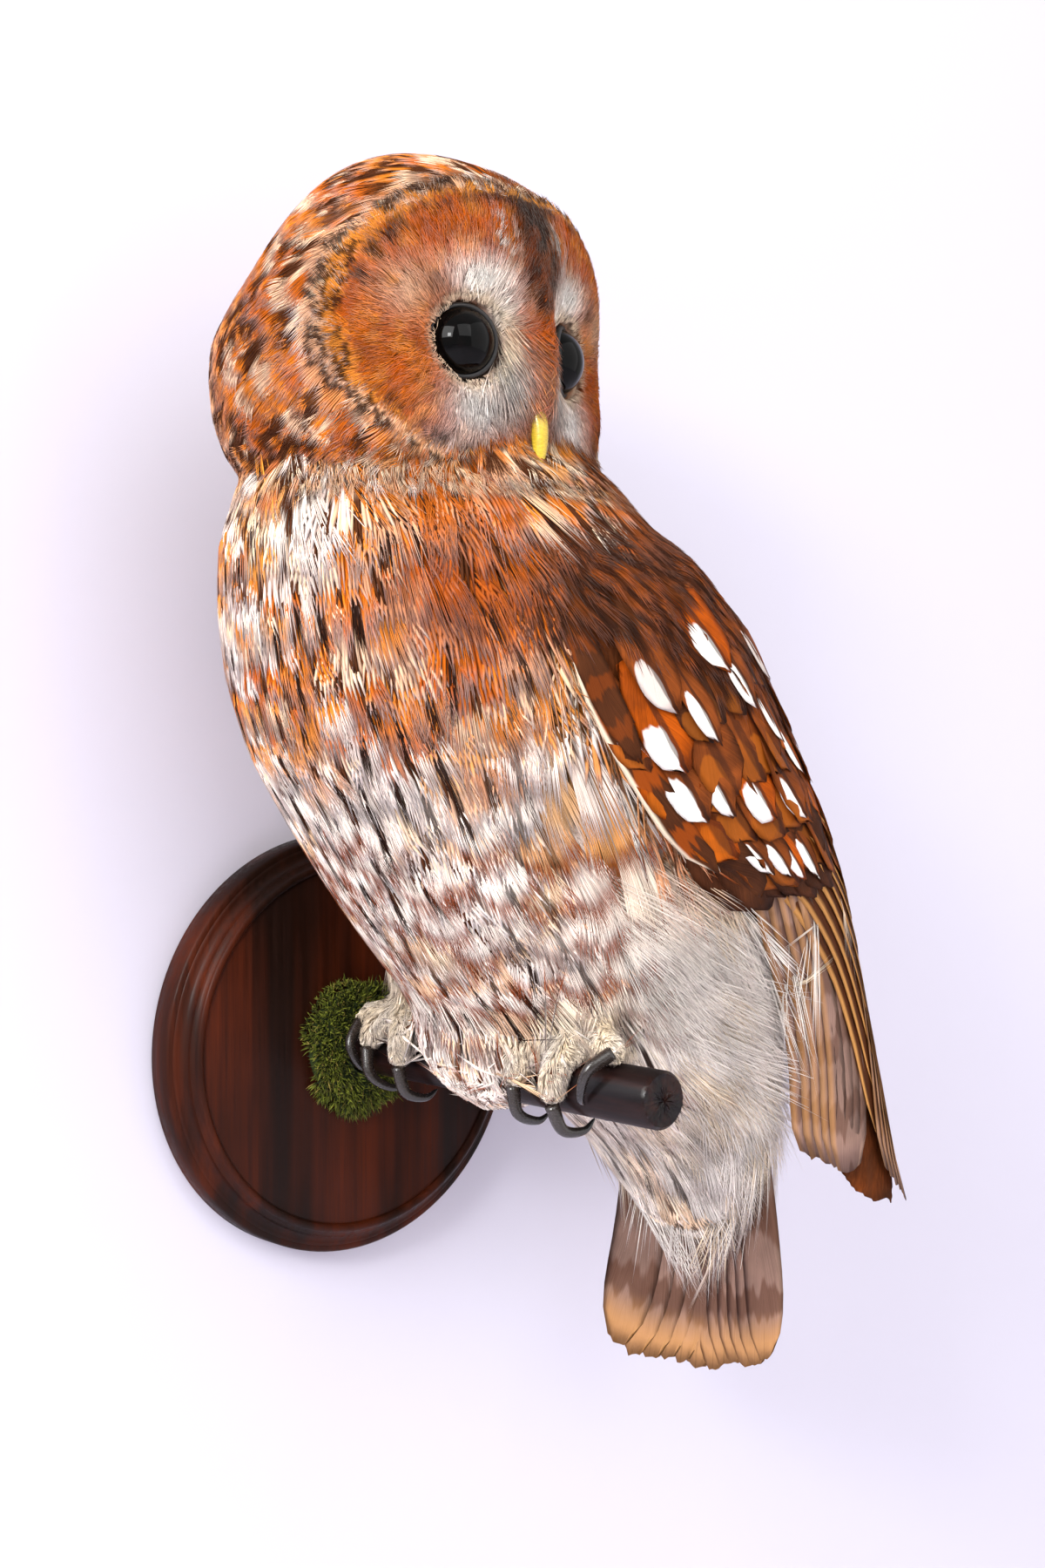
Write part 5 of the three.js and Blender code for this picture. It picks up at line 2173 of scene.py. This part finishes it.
def sweep(
    name: str, path: Sequence[Vector], radii: Sequence[float], reference: Vector, flatten: float = 1.0,
    segments: int = 16
) -> bpy.types.Mesh:
    """A smooth closed form swept along a path.

    Args:
        name: The mesh's name.
        path: The centres of its rings.
        radii: The rings' radii.
        reference: The way that the form's side faces.
        flatten: The width along that side as a share of the radius.
        segments: How many points each ring has.

    Returns:
        The mesh, with a map named length that runs from its root to its tip.
    """
    bm = bmesh.new()
    verts = list(bmesh.ops.create_circle(bm, cap_ends=False, segments=segments, radius=1.0)["verts"])
    edges = list(bm.edges)
    share = {vert: 0.0 for vert in verts}
    before = Matrix.Identity(4)
    last = len(path) - 1
    for k, (centre, radius) in enumerate(zip(path, radii)):
        tangent = (path[min(k + 1, last)] - path[max(k - 1, 0)]).normalized()
        side = (reference - tangent * reference.dot(tangent)).normalized()
        up = tangent.cross(side)
        turn = Matrix((side, up, tangent)).transposed().to_4x4()
        here = Matrix.Translation(centre) @ turn @ Matrix.Diagonal((radius * flatten, radius, radius, 1.0))
        if k in (0, last):
            cap = list(edges)
        if k:
            grown = bmesh.ops.extrude_edge_only(bm, edges=edges)["geom"]
            verts = [item for item in grown if isinstance(item, bmesh.types.BMVert)]
            members = set(verts)
            edges = [
                item for item in grown if isinstance(item, bmesh.types.BMEdge) and set(item.verts) <= members
            ]
        else:
            bmesh.ops.contextual_create(bm, geom=cap)
        bmesh.ops.transform(bm, matrix=here @ before.inverted(), verts=verts)
        share.update({vert: k / last for vert in verts})
        before = here
    bmesh.ops.contextual_create(bm, geom=edges)
    layer = bm.loops.layers.uv.new("length")
    for face in bm.faces:
        for loop in face.loops:
            loop[layer].uv = (0.5, share[loop.vert])
    return mesh_from_bmesh(name, bm)


def bezier(points: Sequence[Vector], count: int) -> list[Vector]:
    """Evenly stepped places along a quadratic curve through its three control points.

    Args:
        points: The three control points.
        count: How many places to give.

    Returns:
        The places in order.
    """
    a, b, c = points
    steps = [k / (count - 1) for k in range(count)]
    return [a * (1 - t) ** 2 + b * (2 * t * (1 - t)) + c * t**2 for t in steps]


def through(points: Sequence[Vector], count: int) -> list[Vector]:
    """Evenly stepped places along a smooth curve through all the points."""
    rows = rows_curve([[k, *point] for k, point in enumerate(points)])
    return [Vector(row) for row in rows(np.linspace(0, len(points) - 1, count))]


@dataclass
class Eyes:
    """The glass eyes and their dark lids."""

    lid_at: float = 9.7 * MM
    lid_thick: float = 0.85 * MM
    outward: float = 0.55

    def build(self) -> None:
        """Makes both eyes and both lids."""
        glass = GlassEyeFinish().material()
        rim = HornFinish("lid_rim", tone(0x0C0807), tone(0x120C0A), 0.6).material()
        for side, hand in (("left", 1), ("right", -1)):
            centre = PLAN.eye(hand)
            bm = bmesh.new()
            bmesh.ops.create_uvsphere(bm, u_segments=48, v_segments=32, radius=PLAN.eye_radius)
            bmesh.ops.translate(bm, vec=centre, verts=bm.verts)
            mesh = mesh_from_bmesh(f"eye_glass_{side}", bm)
            piece_from(f"eye_glass_{side}", mesh, glass, [f"eye_{side}"])
            piece_from(f"lids_{side}", self.lids(f"lids_{side}", centre, hand), rim)

    def lids(self, name: str, centre: Vector, hand: int) -> bpy.types.Mesh:
        """The ring of lid round an eye.

        Args:
            name: The mesh's name.
            centre: The eye's centre.
            hand: 1 for the left eye and -1 for the right.

        Returns:
            The lid's mesh.
        """
        axis = PLAN.head_point(hand * self.outward, 1.0, 0.0) - PLAN.head_point(0, 0, 0)
        axis.normalize()
        across_eye = Vector((0, 0, 1)).cross(axis).normalized()
        reach = math.sqrt(PLAN.eye_radius**2 - self.lid_at**2)
        bm = bmesh.new()
        start = centre + axis * reach + across_eye * self.lid_at
        ring = bmesh.ops.create_circle(bm, cap_ends=False, segments=12, radius=self.lid_thick)["verts"]
        turn = Matrix((across_eye, axis, axis.cross(across_eye))).transposed().to_4x4()
        bmesh.ops.transform(
            bm, matrix=Matrix.Translation(start) @ turn @ Matrix.Diagonal((1.0, 1.25, 1.0, 1.0)), verts=ring
        )
        bmesh.ops.spin(
            bm, geom=list(bm.edges), cent=centre + axis * reach, axis=axis, angle=math.tau, steps=64,
            use_merge=True
        )
        bmesh.ops.remove_doubles(bm, verts=bm.verts, dist=1e-6)
        layer = bm.loops.layers.uv.new("length")
        for face in bm.faces:
            for loop in face.loops:
                out = loop.vert.co - centre - axis * reach
                loop[layer].uv = (0.5, 0.5 + 0.5 * math.sin(math.atan2(out.z, out.dot(across_eye))))
        return mesh_from_bmesh(name, bm)


@dataclass
class Bill:
    """The hooked bill."""

    root: Triple = (0.0, 42 * MM, -16.5 * MM)
    top: Triple = (0.0, 53 * MM, -26.5 * MM)
    tip: Triple = (0.0, 44 * MM, -45 * MM)
    thick: float = 3.6

    def build(self) -> None:
        """Makes the upper and the lower half."""
        finish = HornFinish("bill_horn", tone(0xB8962A), tone(0xDCC038), 0.32).material()
        path = bezier(
            [PLAN.head_point(*self.root), PLAN.head_point(*self.top), PLAN.head_point(*self.tip)], 22
        )
        radii = [(self.thick * (1 - k / 21) ** 0.62 + 0.28) * MM for k in range(22)]
        across_bill = PLAN.head_point(1, 0, 0) - PLAN.head_point(0, 0, 0)
        upper = sweep("bill_horn_upper", path, radii, across_bill, 0.86, 20)
        piece_from("bill_horn_upper", upper, finish, ["bill_upper"])
        places = [PLAN.head_point(0, f * MM, u * MM) for f, u in ((40, -26), (44, -31), (42.5, -35.5))]
        radii = [(2.7 * (1 - k / 13) ** 0.7 + 0.35) * MM for k in range(14)]
        lower = sweep("bill_horn_lower", bezier(places, 14), radii, across_bill, 0.9, 16)
        piece_from("bill_horn_lower", lower, finish, ["bill_lower"])


@dataclass
class Claws:
    """The eight claws, which hook round the peg.

    Each toe is the offset of its end along the peg, its side of the peg, how far round it reaches, and the
    offset of
    its claw's tip.
    """

    toe_radius: float = 4.6
    thick: float = 2.15
    feet: dict[str, tuple[float, tuple[Toe, ...]]] = field(default_factory=lambda: {
        "right": (-47, ((17, 1, 48, 12), (8, 1, 82, 0), (-9, 1, 100, -12), (2, -1, 78, 2))),
        "left": (-132, ((19, 1, 96, 17), (2, 1, 112, 0), (-16, 1, 30, -8), (0, -1, 78, 0))),
    })

    def round_peg(self, y: float, radius: float, degrees: float) -> Vector:
        """A place on a ring round the peg, from straight up towards the front."""
        turn = math.radians(degrees)
        return Vector((-radius * math.sin(turn), y, radius * math.cos(turn))) * MM

    def build(self) -> None:
        """Makes the claws of both feet."""
        finish = HornFinish("claw_horn", tone(0x2B2420), tone(0x0B0A0C), 0.2).material()
        peg = PLAN.peg_radius / MM
        ring = peg + self.toe_radius
        for foot, (y, toes) in self.feet.items():
            for number, (end, sign, reach, tip) in enumerate(toes, 1):
                marks = (
                    (0, ring + 0.5, -4), (0.3, ring + 1.8, 30), (0.7, ring - 0.3, 60), (1, peg + 1.1, 80)
                )
                places = [
                    self.round_peg(y + end + (tip - end) * t, r, sign * (reach + past)) for t, r,
                    past in marks
                ]
                path = through(places, 20)
                radii = [(self.thick * (1 - k / 19) ** 0.62 + 0.16) * MM for k in range(20)]
                name = f"claw_horn_{foot}_{number}"
                mesh = sweep(name, path, radii, Vector((0, 1, 0)), 0.88, 14)
                piece_from(name, mesh, finish, [f"claw_{foot}_{number}"])


# ---- The mount ----


def spun(profile: Sequence[Pair], segments: int) -> bmesh.types.BMesh:
    """A form turned round the line through the plaque's middle.

    Args:
        profile: Pairs of radius and distance from the wall, in millimetres.
        segments: The steps of the turn.

    Returns:
        The turned form.
    """
    bm = bmesh.new()
    verts = [bm.verts.new((r * MM, -h * MM, 0.0)) for r, h in profile]
    edges = [bm.edges.new(pair) for pair in zip(verts, verts[1:])]
    bmesh.ops.spin(
        bm, geom=verts + edges, cent=(0, 0, 0), axis=(0, 1, 0), angle=math.tau, steps=segments, use_merge=True
    )
    bmesh.ops.remove_doubles(bm, verts=bm.verts, dist=1e-6)
    return bm


@dataclass
class Mount:
    """The turned plaque, the peg and the moss round its root."""

    plaque_radius: float = 70.0
    rim: float = 9.9
    face_radius: float = 59.3
    thickness: float = 16.5
    moss_radius: float = 21.5
    moss_height: float = 8.6
    blades: int = 5200

    def plaque(self) -> None:
        """The plaque: a plain band, a quirk, a cove and a bead round the flat face."""
        r, top = self.plaque_radius, self.thickness
        profile = [
            (0.0, 0.0), (r - 0.6, 0.0), (r, 0.6), (r, self.rim - 0.7), (r - 0.7, self.rim),
            (r - 2.2, self.rim)
        ]
        for k in range(9):
            turn = k / 8 * math.pi / 2
            profile.append((r - 2.6 - 3.4 * math.sin(turn), self.rim + 0.5 + 3.6 * (1 - math.cos(turn))))
        for k in range(9):
            turn = k / 8 * math.pi
            profile.append((r - 7.4 - 1.45 * (1 - math.cos(turn)), top - 1.6 + 1.5 * math.sin(turn)))
        profile += [
            (self.face_radius + 0.4, top - 1.5), (self.face_radius - 0.8, top - 1.1), (0.0, top - 1.1)
        ]
        bm = spun(profile, 144)
        mesh = mesh_from_bmesh("plaque_turned", bm)
        piece = piece_from(
            "plaque_turned", mesh, WoodFinish("stained_plaque").material(), ["plaque"]
        )
        piece.data.shade_smooth()
        modifier = piece.modifiers.new("crisp", "EDGE_SPLIT")
        modifier.split_angle = math.radians(50)

    def peg(self) -> None:
        """The peg, sawn off rough at its end."""
        end, radius = PLAN.peg_end / MM, PLAN.peg_radius / MM
        profile = [
            (0.0, self.thickness - 1.0), (radius, self.thickness - 1.0), (radius, end - 1.2),
            (radius - 0.9, end - 0.2)
        ]
        profile += [(radius * k / 9, end) for k in range(8, -1, -1)]
        bm = spun(profile, 72)
        rng = np.random.default_rng(12)
        for vert in bm.verts:
            if vert.co.y < -(end - 0.1) * MM:
                vert.co.y += float(rng.uniform(-0.25, 0.3)) * MM
        mesh = mesh_from_bmesh("peg_turned", bm)
        grain = WoodFinish("stained_peg", tone(0x0E0708), tone(0x2E140D), (150.0, 6.0, 150.0), 0.25, 0.4)
        piece = piece_from("peg_turned", mesh, grain.material(), ["peg"])
        modifier = piece.modifiers.new("crisp", "EDGE_SPLIT")
        modifier.split_angle = math.radians(45)

    def moss(self) -> None:
        """The moss: a low cushion that bristles with short blades."""
        rng = np.random.default_rng(5)
        n = self.blades
        turn = rng.uniform(0, math.tau, n)
        inner = PLAN.peg_radius / MM + 0.6
        spread = np.sqrt(rng.uniform(0, 1, n))
        radius = inner + (self.moss_radius - inner) * spread
        wave = 1 + 0.08 * np.sin(3 * turn + 1) + 0.05 * np.sin(7 * turn)
        radius = np.minimum(radius * wave, self.moss_radius)
        height = (
            self.moss_height
            * np.sqrt(np.clip(1 - ((radius - inner) / (self.moss_radius - inner)) ** 2.2, 0, 1)) * 0.72
        )
        base = (
            np.column_stack([radius * np.cos(turn), -(self.thickness - 0.9) - height, radius * np.sin(turn)])
            * MM
        )
        out = unit(
            np.column_stack(
                [np.cos(turn) * (0.4 + spread), -1.5 * (1.2 - spread), np.sin(turn) * (0.4 + spread)]
            )
            + rng.normal(0, 0.55, (n, 3))
        )
        droop = rng.normal(0, 0.5, (n, 3)) + np.array([0, 0, -0.25])
        length = rng.uniform(1.6, 3.8, n) * MM
        line = np.empty((n, 4, 3))
        for k, share in enumerate(STATIONS[2]):
            line[:, k] = base + (out * share + droop * share**2 * 0.5) * length[:, None]
        line[..., 1] = np.minimum(line[..., 1], -(self.thickness - 0.8) * MM)
        line[..., 1] = np.maximum(line[..., 1], -(self.thickness + self.moss_height + 1.5) * MM)
        side = unit(np.cross(out, rng.normal(0, 1, (n, 3))))[:, None].repeat(4, axis=1)
        up = unit(np.cross(side[:, 0], out))[:, None].repeat(4, axis=1)
        points = spindles(line, side, up, rng.uniform(0.35, 0.7, n) * MM, 0.7)
        greens = np.array([tone(0x5A6218), tone(0x40420F), tone(0x787E28), tone(0x1F2B0B), tone(0x8B7B3A)])
        tint = greens[rng.choice(5, size=n, p=(0.36, 0.26, 0.2, 0.12, 0.06))]
        bake = np.column_stack([turn / math.tau, spread])[:, None] * 0.94 + 0.02
        bake = bake + np.random.default_rng(6).uniform(0, PATCH, (1, 8, 2))
        made = Gathering()
        vane = np.tile([0.5, 0.5], (n, 8, 1))
        made.add(points, spindle_faces(2), vane, bake, tint, np.zeros((n, 4)))
        piece_from("moss_blades", made.mesh("moss_blades"), MossFinish().material(), ["moss"])
        profile = [(inner - 0.5, self.thickness - 1.0)]
        profile += [
            (
                inner + (self.moss_radius - 1.6 - inner) * math.cos(t),
                self.thickness - 0.9 + self.moss_height * 0.68 * math.sin(t)
            )
            for t in (k / 10 * math.pi / 2 for k in range(11))
        ]
        bm = spun(profile, 60)
        mesh = mesh_from_bmesh("moss_cushion", bm)
        layer = mesh.attributes.new("ground", "FLOAT_COLOR", "POINT")
        layer.data.foreach_set(
            "color", np.tile([*tone(0x27330D), 1.0], len(mesh.vertices)).astype(np.float32)
        )
        piece_from("moss_cushion", mesh, MossFinish("moss_heart").material())

    def build(self) -> None:
        """Makes the plaque, peg and moss."""
        self.plaque()
        self.peg()
        self.moss()


# ---- Studio ----


@dataclass(frozen=True)
class Studio:
    """The camera, soft lights, pale wall and pale floor."""

    camera_at: Triple = (-421.8 * MM, -608.0 * MM, 102.1 * MM)
    camera_turn: float = -39.773
    camera_rise: float = 1.2
    lens: float = 50.0
    floor_at: float = -0.62
    wall_gap: float = 0.4 * MM
    aim: Triple = (0, -0.1, 0.1)

    def lamp(self, name: str, place: Triple, size: float, power: float, colour: Triple) -> None:
        """Adds a square area light that faces the owl.

        Args:
            name: The light's name.
            place: Where it stands.
            size: The length of its side.
            power: Its power in watts.
            colour: Its colour.
        """
        data = bpy.data.lights.new(name, "AREA")
        data.size, data.energy, data.color = size, power, colour
        lamp = bpy.data.objects.new(name, data)
        lamp.location = place
        lamp.rotation_euler = (Vector(self.aim) - Vector(place)).to_track_quat("-Z", "Y").to_euler()
        bpy.context.scene.collection.objects.link(lamp)

    def panel(self, name: str, corners: Sequence[Triple], finish: PlainFinish) -> bpy.types.Object:
        """Adds a flat stage panel through four corners.

        Args:
            name: The panel's name.
            corners: Its four corners in order.
            finish: Its finish.

        Returns:
            The panel's object.
        """
        bm = bmesh.new()
        bm.faces.new([bm.verts.new(corner) for corner in corners])
        mesh = bpy.data.meshes.new(name)
        bm.to_mesh(mesh)
        bm.free()
        mesh.materials.append(finish.material())
        made = bpy.data.objects.new(name, mesh)
        bpy.context.scene.collection.objects.link(made)
        return made

    def build(self) -> None:
        """Sets the whole studio up."""
        data = bpy.data.cameras.new("camera")
        data.sensor_fit, data.sensor_height, data.lens = "VERTICAL", 36.0, self.lens
        data.clip_start, data.clip_end = 0.01, 20.0
        camera = bpy.data.objects.new("camera", data)
        camera.location = self.camera_at
        level = math.radians(90 - self.camera_rise)
        camera.rotation_euler = (level, 0.0, math.radians(self.camera_turn))
        bpy.context.scene.collection.objects.link(camera)
        bpy.context.scene.camera = camera
        far, floor = 3.0, self.floor_at
        wall = self.panel(
            "wall",
            [
                (-far, self.wall_gap, floor), (far, self.wall_gap, floor), (far, self.wall_gap, far),
                (-far, self.wall_gap, far)
            ],
            PlainFinish("wall_paint", tone(0xD2CFDC), one_sided=True),
        )
        wall.visible_shadow = False
        self.panel(
            "floor", [(-far, -far, floor), (far, -far, floor), (far, far, floor), (-far, far, floor)],
            PlainFinish("floor_paint", tone(0xE4E0EA))
        )
        self.lamp("key", (-1.35, -0.6, 0.85), 0.9, 24, (1.0, 0.99, 0.97))
        self.lamp("fill", (1.1, -1.7, 0.7), 2.6, 18, (1.0, 0.98, 0.98))
        self.lamp("front", (-0.5, -1.9, 1.3), 1.4, 17, (1.0, 1.0, 1.0))
        self.lamp("glint", (-1.3, -0.75, 0.62), 0.24, 8, (1.0, 1.0, 1.0))
        self.lamp("back", (0.6, 1.6, 1.2), 1.2, 10, (1.0, 1.0, 1.0))
        bpy.context.scene.view_settings.view_transform = "Standard"
        world = bpy.data.worlds.new("studio")
        bpy.context.scene.world = world
        world.use_nodes = True
        world.node_tree.nodes["Background"].inputs["Color"].default_value = (1.0, 0.985, 0.985, 1.0)
        world.node_tree.nodes["Background"].inputs["Strength"].default_value = 0.62


def main() -> None:
    """Builds every class in order."""
    logging.basicConfig(level=logging.INFO, format="%(name)s: %(message)s")
    Studio().build()
    guide = Guide()
    LOG.info("guide: %d points", len(guide.points))
    markings = Markings(guide)
    Skin(guide, markings).build()
    SoftPlumage(Coat(guide, markings)).build()
    WingPlumage(guide).build()
    TailPlumage().build()
    Eyes().build()
    Bill().build()
    Claws().build()
    Mount().build()


if __name__ == "__main__":
    main()
